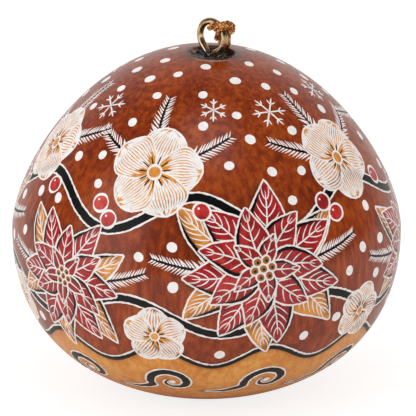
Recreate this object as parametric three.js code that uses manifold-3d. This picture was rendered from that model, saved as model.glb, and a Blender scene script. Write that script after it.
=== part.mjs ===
// A carved gourd ornament: a hollow dried gourd with its seeds, a brass screw eye glued into the stem scar,
// and a loop of metallic cord knotted on the eye and lying down the gourd's back.
//
// Millimetres, +Z up, the front faces -Y. The origin is the middle of the rest face that the gourd stands on.

import * as THREE from "three";
import { mergeVertices } from "three/addons/utils/BufferGeometryUtils.js";
import Module from "manifold-3d";

const wasm = await Module();
wasm.setup();

// Gourd.
const GOURD_DIAMETER = 80;
const CROWN_HEIGHT = 70.9; // top of the crown above the rest face
const BELLY_HEIGHT = 32.9; // the widest line above the rest face
const SANDED_OFF = 1.2; // taken off the round underside, which leaves the flat rest face
// How far the skin's curve keeps its direction on its way out of each end.
const SHOULDER_REACH = { crown: 23.8, belly: 11.6 };
const BOWL_REACH = { belly: 27.8, base: 15.5 };
const CROWN_RISE = 1; // the crown swells up round the stem
const WALL = 4; // the dried shell

// Stem scar, a shallow dish a little off the gourd's axis.
const STEM_OFFSET = 1.2;
const SCAR_DIAMETER = 10.6;
const SCAR_DEPTH = 1.35;

// Screw eye, bent from one wire.
const WIRE_DIAMETER = 1.45;
const RING_DIAMETER = 6.6; // to the middle of the wire
const RING_FOOT_LIFT = 0.8; // from the scar's floor up to the ring's lowest wire, if it went all the way round
const EYE_TURN = 41; // degrees that the ring is turned from facing the front
const EYE_GAP_ANGLE = 220; // where the wire leaves the ring's circle, counted from the right
const CUT_END_RUN = 2; // how far it then runs straight down to its cut end beside the neck
const NECK_ANGLE = -60; // where the ring starts out of the neck
const THREAD_DIAMETER = 1.5;
const THREAD_CORE = 1.05;
const THREAD_PITCH = 0.9;
const THREAD_LENGTH = 7.2;
const POINT_LENGTH = 1.2;

// Glue puddle round the foot of the eye.
const GLUE_DIAMETER = 6;
const GLUE_THICKNESS = 0.35;
const GLUE_EDGE = 0.12; // thickness left at the puddle's rim

// Metallic cord.
const CORD_DIAMETER = 1.1;
const KNOT_DIAMETER = 2.9;
const KNOT_WRAP_THICKNESS = 0.8; // the cord pulled tight round the wire
const KNOT_WRAP_ANGLES = [35, 53]; // where on the ring the two wraps lie
const KNOT_ANGLE = 34; // where on the ring the knot lies beside the wire
const KNOT_OFFSET = { right: 1.2, back: 1.4 }; // from the middle of the wire
const STRAND_SPACING = 1.3; // between the two strands where they leave the knot
const STRAND_SHIFT = 0.5; // the pair leaves the knot this far to the left of its middle
const STRAND_FALL = 70; // degrees below level that they leave it at
const STRAND_LEAN = 4; // degrees that they lean to the left on their way down
const STRAND_BEND = 2.5; // radius of their bend back over the crown
const LOOP_WIDTH = 9;
const LOOP_BEND = 6; // radius of its turn onto the surface that the gourd stands on

// Seeds.
const SEED_LENGTH = 8;
const SEED_WIDTH = 4.4;
const SEED_THICKNESS = 2;
// They lie in rings on the cavity's floor: how many, and how far out.
const SEED_RINGS = [
  { count: 1, radius: 0 },
  { count: 8, radius: 8.7 },
  { count: 15, radius: 17.4 },
];

const CLEARANCE = 0.3; // between pieces that touch on the real ornament
const FLOOR_GAP = 0.1;

const MATERIALS = {
  gourd: new THREE.MeshStandardMaterial({ color: "#843618", roughness: 0.32, metalness: 0 }),
  glue: new THREE.MeshStandardMaterial({ color: "#3a332e", roughness: 0.18, metalness: 0 }),
  brass: new THREE.MeshStandardMaterial({ color: "#b09470", roughness: 0.28, metalness: 1 }),
  cord: new THREE.MeshStandardMaterial({ color: "#d07828", roughness: 0.35, metalness: 0.8 }),
  seed: new THREE.MeshStandardMaterial({ color: "#c9a878", roughness: 0.75, metalness: 0 }),
};

// Solids.

/** A closed three.js geometry as a solid that can be joined and cut. */
function solid(geometry) {
  const bare = geometry.clone();
  bare.deleteAttribute("normal");
  bare.deleteAttribute("uv");
  const merged = mergeVertices(bare, 1e-4);
  return new wasm.Manifold(
    new wasm.Mesh({
      numProp: 3,
      vertProperties: Float32Array.from(merged.attributes.position.array),
      triVerts: Uint32Array.from(merged.index.array),
    }),
  );
}

/** A solid as a three.js geometry. */
function geometryOf(body) {
  const mesh = body.getMesh();
  const geometry = new THREE.BufferGeometry();
  geometry.setAttribute("position", new THREE.BufferAttribute(Float32Array.from(mesh.vertProperties), 3));
  geometry.setIndex(new THREE.BufferAttribute(Uint32Array.from(mesh.triVerts), 1));
  geometry.computeVertexNormals();
  return geometry;
}

/** A body of revolution about +Z from points [radius, height] that start and end on the axis. */
function turned(points, segments) {
  const geometry = new THREE.LatheGeometry(
    points.map(([radius, height]) => new THREE.Vector2(Math.max(radius, 0), height)),
    segments,
  );
  return geometry.rotateX(Math.PI / 2);
}

/** A round bar or tube-like solid along a curve. */
function rod(curve, radius, steps, sides) {
  const section = new THREE.Shape();
  for (let i = 0; i < sides; i += 1) {
    const angle = (2 * Math.PI * i) / sides;
    const [x, y] = [radius * Math.cos(angle), radius * Math.sin(angle)];
    if (i === 0) section.moveTo(x, y);
    else section.lineTo(x, y);
  }
  section.closePath();
  return new THREE.ExtrudeGeometry(section, { steps, extrudePath: curve, bevelEnabled: false });
}

// The gourd's profile and shell.

const GOURD_RADIUS = GOURD_DIAMETER / 2;
const point = (radius, height) => new THREE.Vector2(radius, height);
// Both halves of the skin's line start at the belly: the shoulder ends at the crown, the bowl at its lowest point.
const SHOULDER = new THREE.CubicBezierCurve(
  point(GOURD_RADIUS, BELLY_HEIGHT),
  point(GOURD_RADIUS, BELLY_HEIGHT + SHOULDER_REACH.belly),
  point(SHOULDER_REACH.crown, CROWN_HEIGHT + CROWN_RISE),
  point(0, CROWN_HEIGHT),
);
const BOWL = new THREE.CubicBezierCurve(
  point(GOURD_RADIUS, BELLY_HEIGHT),
  point(GOURD_RADIUS, BELLY_HEIGHT - BOWL_REACH.belly),
  point(BOWL_REACH.base, -SANDED_OFF),
  point(0, -SANDED_OFF),
);

/** The direction square to the skin, away from the gourd. */
function outward(half, t) {
  const along = half.getTangent(t);
  return half === SHOULDER ? point(along.y, -along.x) : point(-along.y, along.x);
}

/** A point [radius, height] of the skin, or of a surface set off from it by out. */
function skinPoint(half, t, out = 0) {
  return half.getPoint(t).addScaledVector(outward(half, t), out);
}

/** Where a value that falls or rises steadily along the curve reaches what is wanted. */
function whereOn(valueAt, wanted) {
  let [low, high] = [0, 1];
  const rising = valueAt(1) > valueAt(0);
  for (let i = 0; i < 50; i += 1) {
    const middle = (low + high) / 2;
    if (valueAt(middle) < wanted === rising) low = middle;
    else high = middle;
  }
  return (low + high) / 2;
}

/** Height of the skin's shoulder at a radius from the gourd's axis. */
function shoulderHeight(radius) {
  return skinPoint(SHOULDER, whereOn((t) => SHOULDER.getPoint(t).x, radius)).y;
}

/** Height of the cavity's floor at a radius from the gourd's axis. */
function cavityFloor(radius) {
  return skinPoint(BOWL, whereOn((t) => skinPoint(BOWL, t, -WALL).x, radius), -WALL).y;
}

/** A closed profile up the bowl and the shoulder, set in by a depth and not below a height. */
function gourdProfile(inset, lowest, steps) {
  const start = whereOn((t) => skinPoint(BOWL, t, -inset).y, lowest);
  const line = [];
  for (let i = 0; i <= steps; i += 1) line.push(skinPoint(BOWL, start * (1 - i / steps), -inset));
  for (let i = 1; i <= steps; i += 1) line.push(skinPoint(SHOULDER, i / steps, -inset));
  const open = line.filter((p) => p.x > 0.01).map((p) => [p.x, p.y]);
  return [[0, line[0].y], ...open, [0, line[line.length - 1].y]];
}

function gourdShell() {
  const outside = solid(turned(gourdProfile(0, 0, 14), 64));
  const inside = solid(turned(gourdProfile(WALL, -SANDED_OFF, 9), 40));
  const dish = solid(turned(scarDish(), 32).translate(STEM_OFFSET, 0, 0));
  const bore = new THREE.CylinderGeometry(BORE_RADIUS, BORE_RADIUS, CROWN_HEIGHT - BELLY_HEIGHT, 16);
  bore.rotateX(Math.PI / 2).translate(STEM_OFFSET, 0, (CROWN_HEIGHT + BELLY_HEIGHT) / 2);
  return geometryOf(outside.subtract(inside).subtract(dish).subtract(solid(bore)));
}

// Stem scar, screw eye and glue.

const WIRE_RADIUS = WIRE_DIAMETER / 2;
const RING_RADIUS = RING_DIAMETER / 2;
const SCAR_RADIUS = SCAR_DIAMETER / 2;
const SCAR_RIM = shoulderHeight(SCAR_RADIUS);
const SCAR_FLOOR = SCAR_RIM - SCAR_DEPTH;
const BORE_RADIUS = Math.max(THREAD_DIAMETER, WIRE_DIAMETER) / 2 + CLEARANCE;
const RING_HEIGHT = SCAR_FLOOR + RING_FOOT_LIFT + WIRE_RADIUS + RING_RADIUS;
const NECK_HEIGHT = SCAR_FLOOR; // the neck starts to bend where it leaves the bore

/** Height of the scar's surface at a radius from the stem's own axis. */
function scarHeight(radius) {
  return SCAR_FLOOR + SCAR_DEPTH * (radius / SCAR_RADIUS) ** 2;
}

/** Profile of what is taken away above the scar. */
function scarDish() {
  const points = [];
  for (let i = 0; i <= 6; i += 1) {
    const radius = (SCAR_RADIUS * i) / 6;
    points.push([radius, scarHeight(radius)]);
  }
  return [...points, [SCAR_RADIUS + 0.6, CROWN_HEIGHT + 1], [0, CROWN_HEIGHT + 1]];
}

/** A point of the ring's plane, across (towards its right) and up, with ahead towards the viewer. */
function inEye(across, up, ahead = 0) {
  const turn = THREE.MathUtils.degToRad(EYE_TURN);
  return new THREE.Vector3(
    STEM_OFFSET + across * Math.cos(turn) - ahead * Math.sin(turn),
    -across * Math.sin(turn) - ahead * Math.cos(turn),
    RING_HEIGHT + up,
  );
}

/** The middle of the ring's wire at an angle from its right, or a point further out or ahead of it. */
function onRing(degrees, out = 0, ahead = 0) {
  const angle = THREE.MathUtils.degToRad(degrees);
  const radius = RING_RADIUS + out;
  return inEye(radius * Math.cos(angle), radius * Math.sin(angle), ahead);
}

/** The middle of the wire on its straight run from the ring's circle to the cut end. */
function cutEnd(share = 1) {
  const angle = THREE.MathUtils.degToRad(EYE_GAP_ANGLE);
  const run = CUT_END_RUN * share;
  const across = RING_RADIUS * Math.cos(angle) - run * Math.sin(angle);
  return inEye(across, RING_RADIUS * Math.sin(angle) + run * Math.cos(angle));
}

/** The wire's line from the top of the thread, through the neck and round the ring to its cut end. */
function wireLine() {
  const angle = THREE.MathUtils.degToRad(NECK_ANGLE);
  const start = onRing(NECK_ANGLE);
  // The straight neck and the ring's first tangent meet here.
  const corner = inEye(0, RING_RADIUS * Math.sin(angle) - RING_RADIUS * Math.cos(angle) / Math.tan(-angle));
  const foot = inEye(0, NECK_HEIGHT - RING_HEIGHT);
  const points = [foot.clone().setZ(NECK_HEIGHT - 1), foot];
  const bend = new THREE.QuadraticBezierCurve3(foot, corner, start);
  for (let i = 1; i <= 6; i += 1) points.push(bend.getPoint(i / 6));
  for (let degrees = NECK_ANGLE + 9; degrees < EYE_GAP_ANGLE - 4; degrees += 9) points.push(onRing(degrees));
  for (const share of [0, 0.5, 1]) points.push(cutEnd(share));
  return new THREE.CatmullRomCurve3(points, false, "centripetal");
}

/** A tapered, pointed screw thread whose top is at the origin, as one closed surface. */
function screwThread() {
  const sides = 12;
  const rings = 36;
  const length = THREAD_LENGTH + POINT_LENGTH;
  const positions = [];
  for (let ring = 0; ring <= rings; ring += 1) {
    const depth = (length * ring) / rings;
    const taper = Math.min(1, Math.max((length - depth) / POINT_LENGTH, 0.12));
    const runIn = Math.min(1, depth / THREAD_PITCH);
    for (let side = 0; side < sides; side += 1) {
      const turn = side / sides;
      const phase = (((depth / THREAD_PITCH + turn) % 1) + 1) % 1;
      const crest = Math.max(0, 1 - Math.abs(phase - 0.5) * 3.2);
      const core = THREE.MathUtils.lerp(THREAD_DIAMETER, THREAD_CORE, runIn) / 2;
      const radius = taper * (core + (THREAD_DIAMETER / 2 - core) * crest);
      const angle = 2 * Math.PI * turn;
      positions.push(radius * Math.cos(angle), radius * Math.sin(angle), -depth);
    }
  }
  const top = positions.length / 3;
  positions.push(0, 0, 0, 0, 0, -length);
  const faces = [];
  for (let ring = 0; ring < rings; ring += 1) {
    for (let side = 0; side < sides; side += 1) {
      const [a, b] = [ring * sides + side, ring * sides + ((side + 1) % sides)];
      faces.push(a, a + sides, b, b, a + sides, b + sides);
    }
  }
  for (let side = 0; side < sides; side += 1) {
    const next = (side + 1) % sides;
    faces.push(top, side, next, top + 1, rings * sides + next, rings * sides + side);
  }
  const geometry = new THREE.BufferGeometry();
  geometry.setAttribute("position", new THREE.BufferAttribute(new Float32Array(positions), 3));
  geometry.setIndex(faces);
  return geometry;
}

function screwEye() {
  const wire = solid(rod(wireLine(), WIRE_RADIUS, 60, 12));
  // The thread starts inside the wire's straight foot, so the two join face to face inside each other.
  const thread = screwThread().translate(STEM_OFFSET, 0, NECK_HEIGHT - 0.4);
  return geometryOf(wire.add(solid(thread)));
}

function glueCollar() {
  const under = [];
  const over = [];
  const radius = GLUE_DIAMETER / 2;
  for (let i = 0; i <= 6; i += 1) {
    const at = (radius * i) / 6;
    const bed = scarHeight(at) + CLEARANCE;
    under.push([at, bed]);
    over.unshift([at, bed + GLUE_EDGE + (GLUE_THICKNESS - GLUE_EDGE) * (1 - (i / 6) ** 3)]);
  }
  const puddle = solid(turned([...under, ...over], 28).translate(STEM_OFFSET, 0, 0));
  const room = new THREE.SphereGeometry(WIRE_RADIUS + CLEARANCE, 12, 8);
  room.translate(...cutEnd().toArray());
  const round = solid(rod(wireLine(), WIRE_RADIUS + CLEARANCE, 60, 12)).add(solid(room));
  const shaft = new THREE.CylinderGeometry(BORE_RADIUS, BORE_RADIUS, 8, 16);
  shaft.rotateX(Math.PI / 2).translate(STEM_OFFSET, 0, NECK_HEIGHT - 3);
  // The wire can cut slivers off the puddle where it dips into it, so only the puddle itself is kept.
  const pieces = puddle.subtract(round).subtract(solid(shaft)).decompose();
  return geometryOf(pieces.sort((a, b) => b.volume() - a.volume())[0]);
}

// Cord and knot.

const CORD_RADIUS = CORD_DIAMETER / 2;
const KNOT_RADIUS = KNOT_DIAMETER / 2;
const WRAP_RADIUS = WIRE_RADIUS + CLEARANCE + KNOT_WRAP_THICKNESS / 2; // to the middle of the wrapped cord
// The knot lies beside the wire, to its right and a little behind.
const KNOT_CENTRE = onRing(KNOT_ANGLE).add(new THREE.Vector3(KNOT_OFFSET.right, KNOT_OFFSET.back, 0));
// Where the strands start: just clear of the knot, whose middle the loop swings about.
const STRAND_START = KNOT_RADIUS + CLEARANCE;
const STANDOFF = CORD_RADIUS + CLEARANCE; // from the skin to the middle of the cord

function cordKnot() {
  const lump = new THREE.SphereGeometry(KNOT_RADIUS, 14, 9);
  lump.translate(KNOT_CENTRE.x, KNOT_CENTRE.y, KNOT_CENTRE.z);
  let knot = solid(lump);
  for (const degrees of KNOT_WRAP_ANGLES) {
    const wrap = new THREE.TorusGeometry(WRAP_RADIUS, KNOT_WRAP_THICKNESS / 2, 8, 18);
    const along = onRing(degrees + 1).sub(onRing(degrees - 1)).normalize();
    wrap.applyQuaternion(new THREE.Quaternion().setFromUnitVectors(new THREE.Vector3(0, 0, 1), along));
    const middle = onRing(degrees);
    knot = knot.add(solid(wrap.translate(middle.x, middle.y, middle.z)));
  }
  const beside = WRAP_RADIUS + 0.1;
  const tails = [
    // One cut tail comes round the ring's top to the front and ends before its opening.
    [onRing(46, 1.1, 0.3), onRing(60, 0.7, 1), onRing(72, -0.1, beside), onRing(83, -0.85, beside)],
    // The other one comes out of the lower wrap inside the ring and points at the viewer.
    [onRing(34, -WRAP_RADIUS, 0), onRing(25, -WRAP_RADIUS, 0.5), onRing(17, -1.2, 1), onRing(11, -1, 1.4)],
  ];
  for (const points of tails) {
    knot = knot.add(solid(rod(new THREE.CatmullRomCurve3(points), CORD_RADIUS * 0.9, 6, 8)));
  }
  const wire = solid(rod(wireLine(), WIRE_RADIUS + CLEARANCE, 60, 12));
  return geometryOf(knot.subtract(wire));
}

/** The middle of the cord where it lies on the gourd's back at a height of the skin. */
function onBack(x, height) {
  const middle = skinPoint(SHOULDER, whereOn((t) => SHOULDER.getPoint(t).y, height), STANDOFF);
  return new THREE.Vector3(x, Math.sqrt(middle.x ** 2 - x ** 2), middle.y);
}

/** One strand of the loop from the knot down to the surface that the gourd stands on. */
function strand(startX, endX) {
  const fall = THREE.MathUtils.degToRad(STRAND_FALL);
  const lean = Math.tan(THREE.MathUtils.degToRad(STRAND_LEAN));
  const points = [];
  const put = (back, down) => {
    points.push(new THREE.Vector3(startX - down * lean, KNOT_CENTRE.y + back, KNOT_CENTRE.z - down));
  };
  // Straight down from the knot for one diameter, then round to level.
  for (const reach of [STRAND_START, STRAND_START + CORD_DIAMETER]) {
    put(reach * Math.cos(fall), reach * Math.sin(fall));
  }
  const reach = STRAND_START + CORD_DIAMETER;
  for (const share of [2 / 3, 1 / 3, 0]) {
    const heading = fall * share;
    const back = STRAND_BEND * (Math.sin(fall) - Math.sin(heading));
    const down = STRAND_BEND * (Math.cos(heading) - Math.cos(fall));
    put(reach * Math.cos(fall) + back, reach * Math.sin(fall) + down);
  }
  const landingX = points[points.length - 1].x;
  // Heights on the skin, from the crown down to the belly.
  const shares = [0.98, 0.94, 0.86, 0.74, 0.57, 0.38, 0.18, 0];
  const heights = shares.map((share) => THREE.MathUtils.lerp(BELLY_HEIGHT, CROWN_HEIGHT, share));
  heights.forEach((height, i) => {
    // The two strands lie side by side over the crown and spread on their way down.
    const spread = THREE.MathUtils.smoothstep(i, 1, heights.length - 1);
    points.push(onBack(THREE.MathUtils.lerp(landingX, endX, spread), height));
  });
  // Below the belly it hangs straight down, then turns back along the surface.
  const back = points[points.length - 1].y;
  const floor = CORD_RADIUS + FLOOR_GAP;
  for (const height of [20, floor + LOOP_BEND]) points.push(new THREE.Vector3(endX, back, height));
  for (const degrees of [30, 60, 90]) {
    const angle = THREE.MathUtils.degToRad(degrees);
    const [y, z] = [back + LOOP_BEND * (1 - Math.cos(angle)), floor + LOOP_BEND * (1 - Math.sin(angle))];
    points.push(new THREE.Vector3(endX, y, z));
  }
  return points;
}

/** The whole loop: down one strand, round on the surface and up the other. */
function loopLine() {
  const middle = KNOT_CENTRE.x - 1.2;
  const start = KNOT_CENTRE.x - STRAND_SHIFT;
  const right = strand(start + STRAND_SPACING / 2, middle + LOOP_WIDTH / 2);
  const left = strand(start - STRAND_SPACING / 2, middle - LOOP_WIDTH / 2);
  const [a, b] = [right[right.length - 1], left[left.length - 1]];
  const turn = [45, 90, 135].map((degrees) => {
    const angle = THREE.MathUtils.degToRad(degrees);
    const reach = (a.x - b.x) / 2;
    return new THREE.Vector3(middle + reach * Math.cos(angle), (a.y + b.y) / 2 + reach * Math.sin(angle), a.z);
  });
  return new THREE.CatmullRomCurve3([...right, ...turn, ...left.reverse()], false, "centripetal");
}

function hangingCord() {
  const line = loopLine();
  console.log(`hanging cord: ${line.getLength().toFixed(1)} mm long`);
  return rod(line, CORD_RADIUS, 80, 8);
}

// Seeds.

/** A flat seed, blunt at one end and pointed at the other, lying along +X. */
function seedShape() {
  const seed = new THREE.SphereGeometry(0.5, 8, 6);
  seed.rotateZ(Math.PI / 2);
  const position = seed.attributes.position;
  for (let i = 0; i < position.count; i += 1) {
    const x = position.getX(i);
    const narrow = 1 - 0.3 * (x + 0.5);
    position.setXYZ(i, x * SEED_LENGTH, position.getY(i) * SEED_WIDTH * narrow, position.getZ(i) * SEED_THICKNESS);
  }
  return seed;
}

/** A seed lying on the cavity's floor, pointing away from the middle. */
function placeSeed(mesh, radius, angle) {
  const slope = (cavityFloor(radius + 0.05) - cavityFloor(Math.max(radius - 0.05, 0))) / 0.1;
  const tilt = Math.atan(radius > 0 ? slope : 0);
  const lift = CLEARANCE + SEED_THICKNESS / 2;
  const reach = radius - lift * Math.sin(tilt);
  mesh.position.set(
    reach * Math.cos(angle),
    reach * Math.sin(angle),
    cavityFloor(radius) + lift * Math.cos(tilt),
  );
  mesh.rotation.set(0, -tilt, angle, "ZYX");
}

// Assembly.

const ornament = new THREE.Group();

function add(parent, name, geometry, material) {
  const mesh = new THREE.Mesh(geometry, material);
  mesh.name = name;
  parent.add(mesh);
  return mesh;
}

add(ornament, "gourd_shell", gourdShell(), MATERIALS.gourd);
add(ornament, "glue_collar", glueCollar(), MATERIALS.glue);
add(ornament, "screw_eye", screwEye(), MATERIALS.brass);
add(ornament, "cord_knot", cordKnot(), MATERIALS.cord);
add(ornament, "hanging_cord", hangingCord(), MATERIALS.cord);

const seeds = new THREE.Group();
ornament.add(seeds);
let number = 0;
for (const { count, radius } of SEED_RINGS) {
  for (let i = 0; i < count; i += 1) {
    number += 1;
    const mesh = add(seeds, `seed_${String(number).padStart(2, "0")}`, seedShape(), MATERIALS.seed);
    placeSeed(mesh, radius, (2 * Math.PI * i) / count);
  }
}

export default ornament;
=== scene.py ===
"""A carved, dyed and varnished gourd ornament on a brass screw eye with a cord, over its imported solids.

The frame is in metres with the front facing -Y. Sizes in this file are in millimetres unless they say
otherwise.
"""

import logging
import math
from dataclasses import dataclass, field
from enum import IntEnum
from typing import Callable, Iterable, Sequence

import bmesh
import bpy
import numpy as np
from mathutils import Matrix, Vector, kdtree, noise
from mathutils.bvhtree import BVHTree
from mathutils.geometry import delaunay_2d_cdt


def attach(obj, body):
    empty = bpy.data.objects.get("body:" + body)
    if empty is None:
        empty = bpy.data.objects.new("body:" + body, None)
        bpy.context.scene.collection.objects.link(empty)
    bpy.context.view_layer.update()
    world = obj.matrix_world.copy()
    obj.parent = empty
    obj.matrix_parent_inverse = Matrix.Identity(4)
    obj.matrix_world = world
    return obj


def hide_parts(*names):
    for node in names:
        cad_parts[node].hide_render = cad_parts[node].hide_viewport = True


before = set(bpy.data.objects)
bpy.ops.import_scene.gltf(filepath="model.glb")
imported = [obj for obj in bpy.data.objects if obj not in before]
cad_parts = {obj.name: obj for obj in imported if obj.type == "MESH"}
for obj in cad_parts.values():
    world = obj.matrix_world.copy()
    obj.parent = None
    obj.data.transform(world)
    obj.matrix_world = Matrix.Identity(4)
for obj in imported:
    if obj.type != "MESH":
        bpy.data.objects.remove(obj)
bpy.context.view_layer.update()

LOG = logging.getLogger("gourd_ornament")
MM = 0.001
Array = np.ndarray


# Small helpers.


def linear(colour: str) -> tuple[float, float, float, float]:
    """Turns an sRGB hex colour into linear red, green, blue and alpha.

    Args:
        colour: Six hex digits after a hash.

    Returns:
        The four channels.
    """
    channels = [int(colour[i : i + 2], 16) / 255 for i in (1, 3, 5)]
    red, green, blue = [c / 12.92 if c <= 0.04045 else ((c + 0.055) / 1.055) ** 2.4 for c in channels]
    return red, green, blue, 1.0


def add_node(
    tree: bpy.types.NodeTree,
    kind: str,
    settings: dict[str, object] | None = None,
    stops: Sequence[tuple[float, str]] = (),
    **inputs: object,
) -> bpy.types.Node:
    """Adds one node with its settings, its colour stops and its links.

    Args:
        tree: The node tree that gets the node.
        kind: The node's type without "ShaderNode".
        settings: Properties of the node, such as its data type.
        stops: A colour ramp's stops, each a place from 0 to 1 and an sRGB hex colour.
        inputs: Values, output sockets, or nodes for their first output, by input name, or i0, i1 and on by its
            number.

    Returns:
        The new node.
    """
    node = tree.nodes.new("ShaderNode" + kind)
    for name, value in (settings or {}).items():
        setattr(node, name, value)
    for name, value in inputs.items():
        key = int(name[1:]) if name[0] == "i" and name[1:].isdigit() else name.replace("_", " ")
        source = value.outputs[0] if isinstance(value, bpy.types.Node) else value
        if isinstance(source, bpy.types.NodeSocket):
            tree.links.new(source, node.inputs[key])
        else:
            node.inputs[key].default_value = source
    if stops:
        ramp = node.color_ramp
        while len(ramp.elements) < len(stops):
            ramp.elements.new(0.5)
        for element, (place, colour) in zip(ramp.elements, stops):
            element.position, element.color = place, linear(colour)
    return node


def new_material(name: str) -> tuple[bpy.types.Material, bpy.types.NodeTree]:
    """Makes an empty node material.

    Args:
        name: Its name.

    Returns:
        The material and its node tree.
    """
    material = bpy.data.materials.new(name)
    material.use_nodes = True
    material.node_tree.nodes.clear()
    return material, material.node_tree


def finish_surface(
    tree: bpy.types.NodeTree,
    height: bpy.types.Node | bpy.types.NodeSocket,
    strength: float,
    depth: float,
    **inputs: object,
) -> None:
    """Ends a material with a surface whose fine relief comes from a height.

    Args:
        tree: The material's node tree.
        height: What gives the height.
        strength: How strongly the relief shows, from 0 to 1.
        depth: Depth of the relief.
        inputs: Inputs of the surface, as for add_node.
    """
    bump = add_node(tree, "Bump", Strength=strength, Distance=depth * MM, Height=height)
    surface = add_node(tree, "BsdfPrincipled", Normal=bump, **inputs)
    add_node(tree, "OutputMaterial", i0=surface)


def smooth_step(value: Array, low: float, high: float) -> Array:
    """Rises smoothly from 0 at low to 1 at high."""
    share = np.clip((value - low) / (high - low), 0, 1)
    return share * share * (3 - 2 * share)


def unit(rows: Array) -> Array:
    """Scales each row to a length of 1."""
    return rows / np.maximum(np.linalg.norm(rows, axis=-1, keepdims=True), 1e-12)


def distances(line: Array, scale: Array | float = 1.0) -> Array:
    """Distances along a line to each of its points, with each span divided by its scale."""
    spans = np.linalg.norm(np.diff(line, axis=0), axis=1)
    return np.concatenate([[0], np.cumsum(spans / scale)])


def read_rows(where: Array, along: Array, rows: Array) -> Array:
    """Rows of a table at places along it, blended from the two nearest."""
    return np.stack([np.interp(where, along, column) for column in rows.T], -1)


def blend(at: Array, low: float, high: float, start: Array, end: Array) -> Array:
    """The straight blend that is start at low and end at high."""
    return (high - at) / (high - low) * start + (at - low) / (high - low) * end


def nearest_tree(points: Array) -> kdtree.KDTree:
    """Sorts points so that the one nearest to a place is found fast.

    Args:
        points: Points in space.

    Returns:
        The sorted points.
    """
    tree = kdtree.KDTree(len(points))
    for i, point in enumerate(points):
        tree.insert(point, i)
    tree.balance()
    return tree


def mesh_of(shape: bmesh.types.BMesh, name: str) -> bpy.types.Mesh:
    """Turns a bmesh into a mesh with smooth shading, and frees it.

    Args:
        shape: The bmesh, in metres.
        name: Name of the mesh.

    Returns:
        The mesh.
    """
    mesh = bpy.data.meshes.new(name)
    shape.to_mesh(mesh)
    shape.free()
    mesh.shade_smooth()
    return mesh


# The gourd's skin, as a map that keeps every angle.


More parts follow.
